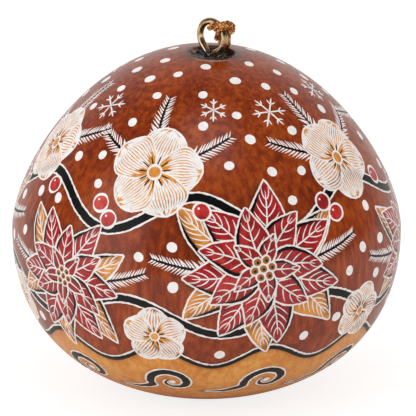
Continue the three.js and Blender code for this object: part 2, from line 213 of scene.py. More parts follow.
@dataclass
class Skin:
    """The gourd's outer surface, from the rim of its rest face (s = 0) up to its crown."""

    belly_radius: float = 40.0
    belly_height: float = 32.9
    crown_height: float = 70.9
    sanded_off: float = 1.2
    shoulder_reach: tuple[float, float] = (23.8, 11.6)
    bowl_reach: tuple[float, float] = (27.8, 15.5)
    crown_rise: float = 1.0
    varnish: float = 0.12  # how far the painted sheets stand off the bare shell
    middle_height: float = 33.0

    def __post_init__(self) -> None:
        """Works out the profile line and its tables."""
        radius, height = self.belly_radius, self.belly_height
        crown, belly = self.shoulder_reach
        pull = (crown, self.crown_height + self.crown_rise)
        shoulder = self._curve((radius, height), (radius, height + belly), pull, (0, self.crown_height))
        belly, base = self.bowl_reach
        low = -self.sanded_off
        bowl = self._curve((radius, height), (radius, height - belly), (base, low), (0, low))
        line = np.concatenate([bowl[bowl[:, 1] >= 0][::-1], shoulder[1:]])
        steps = np.hypot(*np.diff(line, axis=0).T)
        self.s = np.concatenate([[0], np.cumsum(steps)])
        self.r, self.z = line.T
        ahead = unit(np.gradient(line, axis=0))
        self.out_r, self.out_z = ahead[:, 1], -ahead[:, 0]
        self.length = float(self.s[-1])
        # Map radius: its logarithm falls by the share of a turn that each step up the skin is worth.
        share = steps / np.maximum((self.r[1:] + self.r[:-1]) / 2, 1e-4)
        self.log_rho = -np.concatenate([[0], np.cumsum(share)])
        self.log_rho += np.interp(self.belly_s, self.s, -self.log_rho)
        self.tilt = np.arctan2(self.z - self.middle_height, self.r)

    @staticmethod
    def _curve(*corners: tuple[float, float]) -> Array:
        """A cubic curve through its two end points, as many points [radius, height].

        Args:
            corners: The first end, what it heads for, what the last end comes from, and the last end.

        Returns:
            The curve's points.
        """
        t = np.linspace(0, 1, 3001)[:, None]
        a, b, c, d = (np.array(corner, float) for corner in corners)
        return (1 - t) ** 3 * a + 3 * (1 - t) ** 2 * t * b + 3 * (1 - t) * t * t * c + t**3 * d

    @property
    def belly_s(self) -> float:
        """Distance up the skin to the widest line."""
        return float(self.s[np.argmax(self.r)])

    def radius(self, s: Array) -> Array:
        """Distance from the axis at a distance up the skin."""
        return np.interp(s, self.s, self.r)

    def on_shoulder(self, radius: Array | float, column: Array) -> Array:
        """A column of the profile's table above the belly, at distances from the axis."""
        upper = self.s > self.belly_s
        return np.interp(-np.asarray(radius), -self.r[upper], column[upper])

    def chart(self, theta: Array, s: Array) -> Array:
        """Map points for angles round the gourd (radians, 0 is the front) and distances up the skin."""
        rho = np.exp(np.interp(s, self.s, self.log_rho))
        return np.stack([rho * np.sin(theta), -rho * np.cos(theta)], -1)

    def unchart(self, points: Array) -> tuple[Array, Array]:
        """Angles and distances up the skin for map points.

        Args:
            points: Map points.

        Returns:
            The angles, and the distances up the skin.
        """
        rho = np.maximum(np.linalg.norm(points, axis=-1), 1e-9)
        s = np.interp(-np.log(rho), -self.log_rho, self.s)
        return np.arctan2(points[..., 0], -points[..., 1]), s

    def scale(self, points: Array) -> Array:
        """Map units that one millimetre of skin is worth at each map point."""
        rho = np.linalg.norm(points, axis=-1)
        return rho / np.maximum(self.radius(self.unchart(points)[1]), 0.5)

    def place(self, points: Array, out: Array | float = 0.0) -> tuple[Array, Array]:
        """Puts map points on the gourd.

        Args:
            points: Map points.
            out: How far off the skin each one stands.

        Returns:
            The places and the directions square to the skin.
        """
        theta, s = self.unchart(points)
        out_r, out_z = np.interp(s, self.s, self.out_r), np.interp(s, self.s, self.out_z)
        normal = unit(np.stack([out_r * np.sin(theta), -out_r * np.cos(theta), out_z], -1))
        r, z = np.interp(s, self.s, self.r), np.interp(s, self.s, self.z)
        place = np.stack([r * np.sin(theta), -r * np.cos(theta), z], -1)
        return place + normal * np.asarray(out)[..., None], normal

    def towards(self, points: Array) -> Array:
        """Map points of the skin in line with points in space, seen from the gourd's middle.

        Args:
            points: Points in space.

        Returns:
            Their map points.
        """
        theta = np.arctan2(points[..., 0], -points[..., 1])
        tilt = np.arctan2(points[..., 2] - self.middle_height, np.hypot(points[..., 0], points[..., 1]))
        return self.chart(theta, np.interp(tilt, self.tilt, self.s))


@dataclass
class Spot:
    """A place on the skin where a motif is drawn flat, in millimetres to its right and up."""

    skin: Skin
    degrees: float
    s: float
    turn: float = 0.0  # degrees that the motif is turned to its right

    def __post_init__(self) -> None:
        """Works out the directions of the flat drawing."""
        theta = math.radians(self.degrees)
        here = self.skin.chart(np.array([theta]), np.array([self.s]))
        self.middle, normal = (row[0] for row in self.skin.place(here))
        self.right = np.array([math.cos(theta), math.sin(theta), 0.0])
        self.up = np.cross(normal, self.right)

    def chart(self, points: Array) -> Array:
        """Map points for points of the flat drawing.

        Args:
            points: Points to the right and up.

        Returns:
            Their map points.
        """
        a = math.radians(self.turn)
        x = points[:, 0] * math.cos(a) + points[:, 1] * math.sin(a)
        y = points[:, 1] * math.cos(a) - points[:, 0] * math.sin(a)
        return self.skin.towards(self.middle + x[:, None] * self.right + y[:, None] * self.up)

    def turned(self, degrees: float, right: float = 0.0, up: float = 0.0) -> "Spot":
        """The same place moved in its own drawing and turned further.

        Args:
            degrees: How much further it is turned to its right.
            right: How far it is moved to its right.
            up: How far it is moved up.

        Returns:
            The new spot.
        """
        moved = self.chart(np.array([[right, up]]))
        theta, s = self.skin.unchart(moved)
        return Spot(self.skin, math.degrees(float(theta[0])), float(s[0]), self.turn + degrees)


# The engraved and dyed drawing.


class Paint(IntEnum):
    """What covers a patch of the skin."""

    GROUND = 0
    OCHRE = 1
    RED = 2
    WINE = 3
    BLACK = 4
    WHITE = 5


@dataclass
class Drawing:
    """Patches and cut lines laid over each other on the skin's map, the last one on top."""

    skin: Skin
    step: float = 0.6  # between the stations of a cut line
    grid: float = 1.1  # between the points of plain skin
    groove: float = 0.1  # depth of a cut line
    blunt: float = 0.12  # share of a line's taper that its end is cut off at
    dab_sides: int = 18
    fringe: tuple[float, float] = (0.35, 0.9)  # how far beyond a burnt line its scorched points stand
    points: list[Array] = field(default_factory=list)
    levels: list[Array] = field(default_factory=list)
    edges: list[Array] = field(default_factory=list)
    faces: list[Sequence[int]] = field(default_factory=list)
    paints: list[Paint] = field(default_factory=list)
    scorched: list[Array] = field(default_factory=list)
    hearts: list[tuple[Array, float]] = field(default_factory=list)
    count: int = 0

    def __post_init__(self) -> None:
        """Starts the seeded hand that wavers each cut."""
        self.random = np.random.default_rng(12)

    def _add(self, points: Array, chains: Iterable[tuple[int, int, bool]] = ()) -> int:
        """Keeps the map points of one more layer.

        Args:
            points: The map points.
            chains: Runs of points joined by edges: the first one, how many, and whether the run is closed.

        Returns:
            The number of the first point.
        """
        first = self.count
        self.points.append(points)
        self.levels.append(np.full(len(points), float(len(self.points))))
        self.count += len(points)
        for start, count, closed in chains:
            i = np.arange(count if closed else count - 1)
            self.edges.append(first + start + np.stack([i, (i + 1) % count], -1))
        return first

    def even(self, path: Array, closed: bool) -> Array:
        """The same path with stations about one step of real skin apart.

        Args:
            path: Map points.
            closed: Whether it comes back to its start.

        Returns:
            The stations, as map points.
        """
        if closed:
            path = np.concatenate([path, path[:1]])
        along = distances(path, self.skin.scale((path[1:] + path[:-1]) / 2))
        count = max(3, int(round(along[-1] / self.step)))
        line = read_rows(np.linspace(0, along[-1], count + 1), along, path)
        return line[:-1] if closed else line

    def _breadth(
        self, line: Array, width: float, ends: tuple[float, float], closed: bool
    ) -> tuple[Array, Array]:
        """Which way is across a line, and how broad it is, at each of its stations.

        Args:
            line: The line's stations.
            width: Width in the middle of the line.
            ends: Length over which it narrows at its start and its end.
            closed: Whether it comes back to its start.

        Returns:
            A unit vector across the line, and half its breadth, for each station.
        """
        ahead = np.roll(line, -1, 0) - np.roll(line, 1, 0) if closed else np.gradient(line, axis=0)
        half = np.full(len(line), width / 2)
        if not closed:
            along = np.arange(len(line)) * self.step
            for reach, gone in zip(ends, (along, along[::-1])):
                half *= np.clip((gone + self.blunt * reach) / max(reach, 1e-6), 0, 1) ** 0.7
        return unit(np.stack([-ahead[:, 1], ahead[:, 0]], -1)), half

    def _patch(self, outline: Array, paint: Paint) -> None:
        """Lays one face inside a closed outline of stations.

        Args:
            outline: Its stations, as map points.
            paint: What covers it.
        """
        first = self._add(outline, [(0, len(outline), True)])
        self.faces.append(list(range(first, first + len(outline))))
        self.paints.append(paint)

    def fill(self, outline: Array, paint: Paint) -> None:
        """Lays a patch inside a closed outline of map points."""
        self._patch(self.even(outline, closed=True), paint)

    def stroke(
        self,
        path: Array,
        width: float,
        paint: Paint = Paint.WHITE,
        ends: tuple[float, float] = (0.5, 0.5),
        ragged: float = 0.2,
        closed: bool = False,
    ) -> None:
        """Cuts or burns a line.

        Args:
            path: Map points.
            width: Width in the middle of the line.
            paint: What the line is filled with.
            ends: Length over which it narrows at its start and its end.
            ragged: How unsteady its edges are, as a share of its width.
            closed: Whether it comes back to its start.
        """
        line = self.even(path, closed)
        count = len(line)
        side, half = self._breadth(line, width, ends, closed)
        scale = self.skin.scale(line)
        waver = 1 + ragged * self.random.uniform(-1, 1, (2, count))
        right, left = (side * (half * scale * share)[:, None] for share in waver)
        rows = np.concatenate([line + right, line, line - left])
        first = self._add(rows, [(row * count, count, closed) for row in range(3)])
        if not closed:
            for end in (0, count - 1):
                self.edges.append(first + np.array([[end, end + count], [end + count, end + 2 * count]]))
        i = np.arange(count if closed else count - 1)
        j = (i + 1) % count
        for a, b in ((0, count), (count, 2 * count)):
            for corners in ((a + i, b + i, b + j), (a + i, b + j, a + j)):
                self.faces.extend((first + np.stack(corners, -1)).tolist())
        self.paints.extend([paint] * (4 * len(i)))
        if paint is Paint.BLACK and width > 0.5:
            # Loose points beside a burnt line carry the scorched fringe.
            for beyond in self.fringe:
                reach = ((half + beyond) * scale)[:, None] * side
                self._add(np.concatenate([line + reach, line - reach])[::2])
            self.scorched.append(self.skin.place(line)[0])

    def band(self, path: Array, width: float, ends: tuple[float, float], edge: float = 0.4) -> None:
        """A burnt black band with a white cut along both its edges.

        Args:
            path: Map points.
            width: Width in the middle of the line.
            ends: Length over which it narrows at its start and its end.
            edge: Width of the white cuts.
        """
        self.stroke(path, width, Paint.BLACK, ends, 0.05)
        line = self.even(path, closed=False)
        side, half = self._breadth(line, width, ends, closed=False)
        reach = ((half + edge * 0.35) * self.skin.scale(line))[:, None] * side
        for edge_line in (line + reach, line - reach):
            self.stroke(edge_line, edge, ends=(0.3, 0.3), ragged=0.42)

    def dot(self, spot: Spot, size: float, paint: Paint = Paint.WHITE) -> None:
        """A round dab, a little uneven.

        Args:
            spot: Its middle.
            size: Its width.
            paint: What covers it.
        """
        a = np.linspace(0, 2 * math.pi, self.dab_sides, endpoint=False)
        wobble = 1 + 0.05 * np.sin(2 * a + self.random.uniform(0, 6))
        wobble += 0.03 * self.random.uniform(-1, 1, self.dab_sides)
        ring = np.stack([np.cos(a), np.sin(a)], -1) * wobble[:, None]
        self._patch(spot.chart(ring * size / 2), paint)
        # Points inside the dab keep its faces even.
        self._add(spot.chart(np.concatenate([[[0, 0]], ring[::3] * size / 4])))

    def paint_at(self, points: Array) -> list[Paint | None]:
        """The topmost paint at each map point, or None on plain skin.

        Each layer lies above the last one, so a look straight down meets the topmost first.

        Args:
            points: Map points.

        Returns:
            One paint or None for each point.
        """
        corners = np.column_stack([np.concatenate(self.points), np.concatenate(self.levels)])
        layers = BVHTree.FromPolygons(corners.tolist(), self.faces)
        above, down = float(len(self.points) + 10), Vector((0, 0, -1))
        hits = (layers.ray_cast((x, y, above), down)[2] for x, y in points.tolist())
        return [None if hit is None else self.paints[hit] for hit in hits]


@dataclass
class Blade:
    """One petal or leaf that grows from its spot, with its veins and its cut outline."""

    length: float
    width: float
    bend: float = 0.0  # radians that it turns on its way
    belly: float = 0.8  # under 1 it is widest near its base
    point: float = 0.9  # under 1 its tip is rounder
    paint: Paint = Paint.RED
    wave: float = 0.04
    stations: int = 44

    def shape(self, drawing: Drawing) -> None:
        """Works out the midrib and the half widths.

        Args:
            drawing: The drawing whose seeded hand waves its edge.
        """
        self.t = np.linspace(0, 1, self.stations)
        turn = self.bend * (self.t - 0.25)
        steps = np.stack([np.sin(turn), np.cos(turn)], -1) * self.length / (self.stations - 1)
        self.rib = np.concatenate([[[0, 0]], np.cumsum(steps[:-1], axis=0)])
        self.side = np.stack([np.cos(turn), -np.sin(turn)], -1)
        wave = 1 + self.wave * np.sin(11 * self.t + drawing.random.uniform(0, 6))
        self.half = self.width / 2 * np.sin(math.pi * self.t**self.belly) ** self.point * wave
        self.half[-1] = 0

    def at(self, t: Array, across: Array | float) -> Array:
        """Points of the flat drawing at shares of the length and of the half width."""
        rib, side = (read_rows(t, self.t, rows) for rows in (self.rib, self.side))
        return rib + side * (np.interp(t, self.t, self.half) * across)[:, None]

    def outline(self) -> Array:
        """The whole edge, from the base up the right side, round the tip and back."""
        return np.concatenate([self.at(self.t, 1.0), self.at(self.t[::-1], -1.0)[1:-1]])

    def _cut_edge(self, drawing: Drawing, spot: Spot, width: float, ragged: float) -> None:
        """Cuts a white line all along the edge."""
        edge = self.outline()
        drawing.stroke(spot.chart(np.concatenate([edge, edge[:1]])), width, ends=(0.2, 0.2), ragged=ragged)

    def dress(self, drawing: Drawing, spot: Spot) -> None:
        """Draws the petal with a burnt shadow along one side and cut veins.

        Args:
            drawing: The drawing that it goes on.
            spot: Where its base is.
        """
        self.shape(drawing)
        drawing.fill(spot.chart(self.outline()), self.paint)
        shadow = self.at(np.linspace(0.08, 0.9, 30), -0.86)
        drawing.stroke(spot.chart(shadow), 0.7, Paint.BLACK, (3, 4), 0.08)
        for t in np.linspace(0.14, 0.74, max(2, int(self.length / 2.5))):
            for way in (-1, 1):
                out = np.linspace(0, 1, 6)
                path = self.at(t + 0.17 * out, way * 0.72 * out**0.85)
                drawing.stroke(spot.chart(path), 0.25, ends=(0.2, 1.4), ragged=0.2)
        midrib = self.at(np.linspace(0.04, 0.86, 30), 0.0)
        drawing.stroke(spot.chart(midrib), 0.32, ends=(0.3, 3))
        self._cut_edge(drawing, spot, 0.38, 0.34)

    def hatch(self, drawing: Drawing, spot: Spot, spacing: float = 0.66) -> None:
        """Draws the petal as close white cuts through the dye, with bare rind between them.

        Args:
            drawing: The drawing that it goes on.
            spot: Where its base is.
            spacing: How far apart the cuts are.
        """
        self.shape(drawing)
        drawing.fill(spot.chart(self.outline()), Paint.OCHRE)
        for across in np.linspace(-0.86, 0.86, max(5, int(self.width / spacing))):
            start, end = drawing.random.uniform(0.12, 0.3), drawing.random.uniform(0.86, 0.99)
            t = np.linspace(start + 0.1 * abs(across), end, 16)
            drawing.stroke(spot.chart(self.at(t, across)), 0.4, ends=(1.2, 0.6), ragged=0.24)
        self._cut_edge(drawing, spot, 0.4, 0.2)


@dataclass
class Poinsettia:
    """A red star flower in three layers round a few ochre buds."""

    spot: Spot
    radius: float
    petals: int = 7

    def draw(self, drawing: Drawing) -> None:
        """Draws the outer petals first and the buds last.

        Args:
            drawing: The drawing that it goes on.
        """
        random = drawing.random
        layers = (
            (self.petals, 1.0, 0.46, Paint.WINE, 0.0),
            (self.petals, 0.74, 0.37, Paint.RED, 0.5),
            (5, 0.42, 0.2, Paint.RED, 0.2),
        )
        for count, reach, width, paint, shift in layers:
            for i in range(count):
                turn = 360 * (i + shift) / count + random.uniform(-4, 4)
                length = self.radius * reach * random.uniform(0.93, 1.04)
                petal = Blade(length, self.radius * width, random.uniform(-0.5, 0.5), 0.78, 0.92, paint)
                petal.dress(drawing, self.spot.turned(turn))
        bud = self.radius * 0.085
        for i in range(6):
            a = 2 * math.pi * i / 6 + 0.3
            self._bud(drawing, self.spot.turned(0, 1.12 * bud * math.cos(a), 1.12 * bud * math.sin(a)), bud)
        self._bud(drawing, self.spot, bud)
        drawing.hearts.append((self.spot.middle, self.radius * 0.42))

    @staticmethod
    def _bud(drawing: Drawing, spot: Spot, size: float) -> None:
        """One ochre bud with a white ring and a dark eye.

        Args:
            drawing: The drawing that it goes on.
            spot: Where it goes.
            size: How big the bud is.
        """
        drawing.dot(spot, size * 1.35)
        drawing.dot(spot, size * 0.9, Paint.OCHRE)
        drawing.dot(spot.turned(0, 0.1, -0.1), size * 0.36, Paint.BLACK)


@dataclass
class SnowRose:
    """A white flower of five broad petals, cut in close lines."""

    spot: Spot
    radius: float
    petals: int = 5
    stamens: int = 11

    def draw(self, drawing: Drawing) -> None:
        """Draws the petals, then the stamens round the middle.

        Args:
            drawing: The drawing that it goes on.
        """
        for i in range(self.petals):
            petal = Blade(self.radius, self.radius * 0.98, 0.25, 1.3, 0.6, wave=0.05)
            petal.hatch(drawing, self.spot.turned(360 * i / self.petals + drawing.random.uniform(-5, 5)))
        stamen = np.array([[0, 0.14], [0, 0.36]]) * self.radius
        for i in range(self.stamens):
            spot = self.spot.turned(360 * i / self.stamens)
            drawing.stroke(spot.chart(stamen), 0.3, Paint.BLACK, (0.1, 0.1))
        drawing.dot(self.spot, self.radius * 0.34)
        drawing.dot(self.spot, self.radius * 0.24, Paint.OCHRE)


@dataclass
class Sprig:
    """A fir twig: a dark stem with white needles on both sides."""

    spot: Spot
    length: float
    bend: float = 0.3
    needle: float = 3.9  # its length at the twig's foot
    needle_gap: float = 1.05

    def draw(self, drawing: Drawing) -> None:
        """Draws the needles, then the stem over their feet.

        Args:
            drawing: The drawing that it goes on.
        """
        twig = Blade(self.length, 2, self.bend)
        twig.shape(drawing)
        count = int(self.length / self.needle_gap)
        for i in range(count):
            t = 0.16 + 0.8 * i / count
            reach = self.needle * (1 - 0.55 * t)
            foot = twig.at(np.array([t]), 0.0)[0]
            for way in (-1, 1):
                a = self.bend * (t - 0.25) + way * (0.72 + drawing.random.uniform(-0.1, 0.1))
                tip = foot + reach * np.array([math.sin(a), math.cos(a)])
                drawing.stroke(self.spot.chart(np.linspace(foot, tip, 5)), 0.34, ends=(0.1, 1.4), ragged=0.2)
        drawing.stroke(self.spot.chart(twig.at(np.linspace(0.02, 1, 30), 0.0)), 0.5, Paint.BLACK, (0.3, 3))


@dataclass
class Leaf:
    """An ochre leaf left bare in the dye."""

    spot: Spot
    length: float
    bend: float = 0.4

    def draw(self, drawing: Drawing) -> None:
        """Draws the leaf with its burnt shadow and its veins."""
        blade = Blade(self.length, self.length * 0.4, self.bend, 0.76, 0.95, Paint.OCHRE, 0.06)
        blade.dress(drawing, self.spot)


@dataclass
class Berry:
    """A red berry with a white ring and a glint."""

    spot: Spot
    size: float = 3.2

    def draw(self, drawing: Drawing) -> None:
        """Draws the ring, the berry and its glint.

        Args:
            drawing: The drawing that it goes on.
        """
        drawing.dot(self.spot, self.size + 0.9)
        drawing.dot(self.spot, self.size, Paint.RED)
        drawing.dot(self.spot.turned(0, -0.2 * self.size, 0.2 * self.size), 0.5)


@dataclass
class Star:
    """A six-armed snow star of white cuts."""

    spot: Spot
    size: float

    def draw(self, drawing: Drawing) -> None:
        """Draws the six arms with their barbs.

        Args:
            drawing: The drawing that it goes on.
        """
        reach = self.size / 2
        for i in range(6):
            spot = self.spot.turned(60 * i)
            drawing.stroke(spot.chart(np.array([[0, 0], [0, reach]])), 0.36, ends=(0.1, 0.4))
            for way in (-1, 1):
                barb = np.array([[0, 0.52], [way * 0.24, 0.78]]) * reach
                drawing.stroke(spot.chart(barb), 0.3, ends=(0.1, 0.3))


@dataclass
class Swag:
    """A black ribbon that waves once round the gourd."""

    s: float
    rise: float
    waves: int
    shift: float
    width: float = 1.8

    def draw(self, drawing: Drawing, start: float, end: float) -> None:
        """Draws the ribbon between two angles in degrees.

        Args:
            drawing: The drawing that it goes on.
            start: Angle where it begins.
            end: Angle where it ends.
        """
        theta = np.radians(np.linspace(start, end, 160))
        s = self.s + self.rise * np.cos(self.waves * theta + self.shift)
        drawing.band(drawing.skin.chart(theta, s), self.width, (9, 9))


@dataclass
class FootBorder:
    """The bare ochre foot of the gourd, with a wavy top edge and a row of black curls."""

    top: float = 31.0
    rise: float = 2.4
    curls: int = 10
    middle: float = 21.5
    shift: float = 0.35
    roll: tuple[float, float] = (1.6, 0.4)  # middle of a curl's roll, from its spot
    start: tuple[float, float] = (-10.6, -5.0)  # where a curl begins, from its spot

    def edge(self, theta: Array) -> Array:
        """Distance up the skin to the wavy edge."""
        return self.top + self.rise * np.cos(self.curls * (theta - self.shift))

    def draw(self, drawing: Drawing) -> None:
        """Draws the double edge and the curls, over the bare skin that stays undyed below the edge.

        Args:
            drawing: The drawing that it goes on.
        """
        skin = drawing.skin
        theta = np.linspace(0, 2 * math.pi, 720, endpoint=False)
        drawing.stroke(skin.chart(theta, self.edge(theta) - 0.5), 1.1, Paint.BLACK, ragged=0.06, closed=True)
        drawing.stroke(skin.chart(theta, self.edge(theta) + 0.2), 0.42, ragged=0.4, closed=True)
        for i in range(self.curls):
            spot = Spot(skin, math.degrees(self.shift) + 360 * i / self.curls, self.middle)
            self._curl(drawing, spot)

    def _curl(self, drawing: Drawing, spot: Spot) -> None:
        """One tapering wave that rolls in on itself.

        Args:
            drawing: The drawing that it goes on.
            spot: Where it goes.
        """
        a = np.radians(np.linspace(205, -225, 70))
        reach = np.linspace(4.9, 1.0, len(a))
        right, up = self.roll
        roll = np.stack([right + reach * np.cos(a), up + reach * np.sin(a)], -1)
        share = np.linspace(0, 1, 16)
        left, low = self.start
        rise = low + (roll[0, 1] - low) * share**2.2
        foot = np.stack([np.linspace(left, roll[0, 0], len(share)), rise], -1)
        drawing.band(spot.chart(np.concatenate([foot[:-1], roll])), 1.7, (8, 9))
        drawing.dot(spot.turned(0, right, up), 1.5)


# Sizes of the flowers: degrees round from the front, distance up the skin, radius, and turn.
POINSETTIAS = (
    (17, 51, 19.5, 8),
    (-47, 46, 15.5, 30),
    (-106, 51, 17.5, 0),
    (-163, 46, 15.5, 20),
    (145, 52, 18.0, 40),
    (86, 46, 15.5, 10),
)
SNOW_ROSES = (
    (-20, 71, 10.2, 10),
    (58, 70, 9.4, 40),
    (-78, 70, 9.0, 0),
    (-134, 70, 9.8, 30),
    (175, 71, 9.2, 20),
    (115, 70, 9.8, 50),
)
SMALL_ROSES = (
    (-16, 36, 6.8, 0),
    (54, 37, 6.4, 20),
    (-76, 36, 6.6, 40),
    (-134, 36, 6.4, 0),
    (172, 37, 6.6, 30),
    (115, 36, 6.4, 10),
)
# Places and sizes of the stars: degrees round, distance up the skin, width.
STARS = (
    (36, 84, 8.0),
    (84, 84, 7.0),
    (-60, 83, 7.5),
    (-112, 86, 7.5),
    (150, 86, 8.0),
    (-160, 85, 7.0),
    (4, 86, 6.0),
)


@dataclass
class Garland:
    """The whole drawing: flowers and greenery round the belly, ribbons, a bare foot, stars and snow."""

    skin: Skin
    tries: int = 9000  # places looked at for a dab of snow
    snow: tuple[float, float] = (31, 101)  # how far up the skin it lies
    dab: tuple[float, float] = (1.9, 2.35)  # sizes of a dab
    clear: float = 1.75  # from the middle of a dab to anything drawn
    apart: float = 5.8  # between the middles of two dabs

    def draw(self) -> Drawing:
        """Draws everything from the bottom layer up.

        Returns:
            The finished drawing.
        """
        drawing = Drawing(self.skin)
        FootBorder().draw(drawing)
        spot = lambda degrees, s, turn=0.0: Spot(self.skin, degrees, s, turn)
        for degrees, s, radius, _ in SNOW_ROSES:
            for turn, bend in ((-62, 0.5), (58, -0.5), (-8, 0.3)):
                Sprig(spot(degrees, s, turn), radius + 9.5, bend).draw(drawing)
        for degrees, s, radius, _ in POINSETTIAS:
            for way in (-88, 84):
                Sprig(spot(degrees, s, way), radius + 8, -0.4 if way > 0 else 0.4).draw(drawing)
        for swag in (Swag(62, 4.2, 6, 0.4), Swag(40.5, 3.6, 6, 2.6, 1.6)):
            swag.draw(drawing, -172, 188)
        for degrees, s, radius, turn in POINSETTIAS:
            for i, way in enumerate((-118, -60, 62, 122, 180)):
                leaf = spot(degrees, s, way + turn * 0.3)
                Leaf(leaf, radius * (1.26 if i % 2 else 1.16), 0.5 if i % 2 else -0.5).draw(drawing)
        for degrees, s, radius, turn in SMALL_ROSES + SNOW_ROSES:
            SnowRose(spot(degrees, s, turn), radius).draw(drawing)
        for degrees, s, radius, turn in POINSETTIAS:
            Poinsettia(spot(degrees, s, turn), radius, 7 if radius > 16 else 6).draw(drawing)
        for degrees, s, radius, _ in SNOW_ROSES:
            for right, up in ((-1.1, -0.75), (-0.86, -1.1), (1.15, -0.7)):
                Berry(spot(degrees, s).turned(0, right * radius, up * radius)).draw(drawing)
        for degrees, s, size in STARS:
            Star(spot(degrees, s, degrees), size).draw(drawing)
        self._snow(drawing)
        return drawing

    def _snow(self, drawing: Drawing) -> None:
        """Scatters round dabs of snow over the plain ground, well apart.

        Args:
            drawing: The drawing that it goes on.
        """
        drawn = nearest_tree(np.concatenate([self.skin.place(points)[0] for points in drawing.points]))
        random = np.random.default_rng(5)
        spots = []
        for _ in range(self.tries):
            s = float(random.uniform(*self.snow))
            if random.uniform() < self.skin.radius(s) / self.skin.belly_radius:
                spots.append(Spot(self.skin, float(random.uniform(-180, 180)), s))
        on_chart = np.concatenate([spot.chart(np.zeros((1, 2))) for spot in spots])
        placed: list[Array] = []
        for spot, paint in zip(spots, drawing.paint_at(on_chart)):
            from_stem = math.hypot(spot.middle[0] - StemScar.offset, spot.middle[1])
            theta = math.atan2(spot.middle[0], -spot.middle[1])
            bare = spot.s < float(FootBorder().edge(np.array(theta))) + 1
            if paint is not None or bare or from_stem < StemScar.radius + 1.9:
                continue
            if drawn.find(spot.middle)[2] < self.clear:
                continue
            if any(np.linalg.norm(spot.middle - other) < self.apart for other in placed):
                continue
            placed.append(spot.middle)
            drawing.dot(spot, float(random.uniform(*self.dab)))
        LOG.info("snow: %d dabs", len(placed))


# Finishes.


FLOATS = {"data_type": "FLOAT"}
COLOURS = {"data_type": "RGBA"}
Tones = tuple[tuple[float, str], ...]


@dataclass(frozen=True)
class DyedRind:
    """Varnished gourd rind that was dyed, burnt or left bare, with the growth streaks that run up a gourd."""

    name: str
    slot: str
    deep: str
    middle: str
    light: str
    # Brown by burnt lines, at flower hearts, and round the scar, where it is partly painted shade.
    scorch_and_shade: str
    streak: float = 1.1  # width of a growth streak
    streak_share: float = 0.58
    cloud: float = 13.0  # size of the dye's clouds
    mottle: float = 0.14  # share of fine mottle
    roughness: tuple[float, float] = (0.2, 0.28)
    pore: float = 0.42  # size of the varnish's fine texture
    pore_depth: float = 0.02
    ior: float = 1.48
    wear_and_sheen_colour: str = "#b49488"  # colour where an edge wears bare, and of the painted highlight on the scar's front lip

    def material(self) -> bpy.types.Material:
        """Builds the finish from the skin's own streak coordinates and object coordinates.

        Returns:
            The material.
        """
        material, tree = new_material(self.name)
        growth, scorch_and_shade, wear_and_sheen = (
            add_node(tree, "Attribute", {"attribute_name": name}) for name in ("growth", "scorch_and_shade", "wear_and_sheen")
        )
        space = add_node(tree, "TexCoord").outputs["Object"]
        width = 1 / self.streak
        drawn = add_node(tree, "Mapping", i0=growth.outputs["Vector"], Scale=(width, width, width / 5))
        streaks = add_node(tree, "TexNoise", Vector=drawn, Scale=1.0, Detail=3.0, Roughness=0.55)
        clouds = add_node(tree, "TexNoise", Vector=space, Scale=1000 / self.cloud, Detail=4.0, Roughness=0.6)
        pores = add_node(tree, "TexNoise", Vector=space, Scale=1000 / self.pore, Detail=3.0)
        broad = add_node(tree, "Mix", FLOATS, i0=self.streak_share, i2=clouds, i3=streaks)
        both = add_node(tree, "Mix", FLOATS, i0=self.mottle, i2=broad, i3=pores)
        stops = ((0.4, self.deep), (0.5, self.middle), (0.6, self.light))
        tones = add_node(tree, "ValToRGB", stops=stops, i0=both)
        # Brown by burnt lines and flower hearts; round the scar this brown is partly painted shade.
        browned = add_node(tree, "Mix", COLOURS, i0=scorch_and_shade.outputs["Fac"], i6=tones, i7=linear(self.scorch_and_shade))
        # Pale at the wear of the rest face, and a painted highlight on the front lip of the scar.
        ragged = add_node(tree, "Math", {"operation": "ADD"}, i0=wear_and_sheen.outputs["Fac"], i1=pores)
        pale = add_node(tree, "MapRange", Value=ragged, i1=0.85, i2=1.25, i3=0.0, i4=0.8)
        colour = add_node(tree, "Mix", COLOURS, i0=pale, i6=browned.outputs[2], i7=linear(self.wear_and_sheen_colour))
        height = add_node(tree, "Mix", FLOATS, i0=0.3, i2=pores, i3=streaks)
        smooth, rough = self.roughness
        gloss = add_node(tree, "MapRange", Value=both, i1=0.4, i2=0.6, i3=rough, i4=smooth)
        look = {"Base_Color": colour.outputs[2], "Roughness": gloss, "IOR": self.ior}
        finish_surface(tree, height, 0.6, self.pore_depth, **look)
        return material


# Leather dye soaked into the rind: uneven orange brown under satin varnish. Its dark brown round the scar is
# partly painted shade.
STAIN = DyedRind("stained_rind", "stained_gourd", "#702202", "#8f3404", "#a84a12", "#3c1609")
# Rind that the dye never reached: its own warm ochre, browned by the burning iron beside each black line.
BARE = DyedRind("bare_varnished_rind", "ochre_rind", "#d07e2e", "#e0933e", "#eaa652", "#8a4a1a")
# Red dye, clear in the middle of a petal and dark where it pools at the heart.
RED_DYE = DyedRind("red_dyed_rind", "red_paint", "#a8161a", "#be2826", "#d24238", "#86141a")
# The same dye laid on twice, for the petals that lie behind.
WINE_DYE = DyedRind("wine_dyed_rind", "red_paint", "#961016", "#ac1a1e", "#c02c2a", "#760e14")
# Charred by a hot iron: near black, with a fine grey streak, and duller than the varnish round it.
CHAR = DyedRind(
    "burnt_rind",
    "dark_paint",
    *("#040404", "#0b0a0c", "#2c2a2f", "#070606"),
    streak=0.4,
    streak_share=0.6,
    cloud=5.0,
    mottle=0.3,
    roughness=(0.3, 0.42),
    pore=0.3,
    pore_depth=0.03,
    ior=1.36,
)
# Chalk white rubbed into the cuts, a little creamy where the rind shows through.
CHALK = DyedRind(
    "chalk_filled_cut",
    "white_engraving",
    *("#ece8e6", "#f7f5f4", "#fcfcfc", "#efe8e2"),
    streak=0.4,
    streak_share=0.3,
    cloud=3.0,
    mottle=0.4,
    roughness=(0.5, 0.62),
)


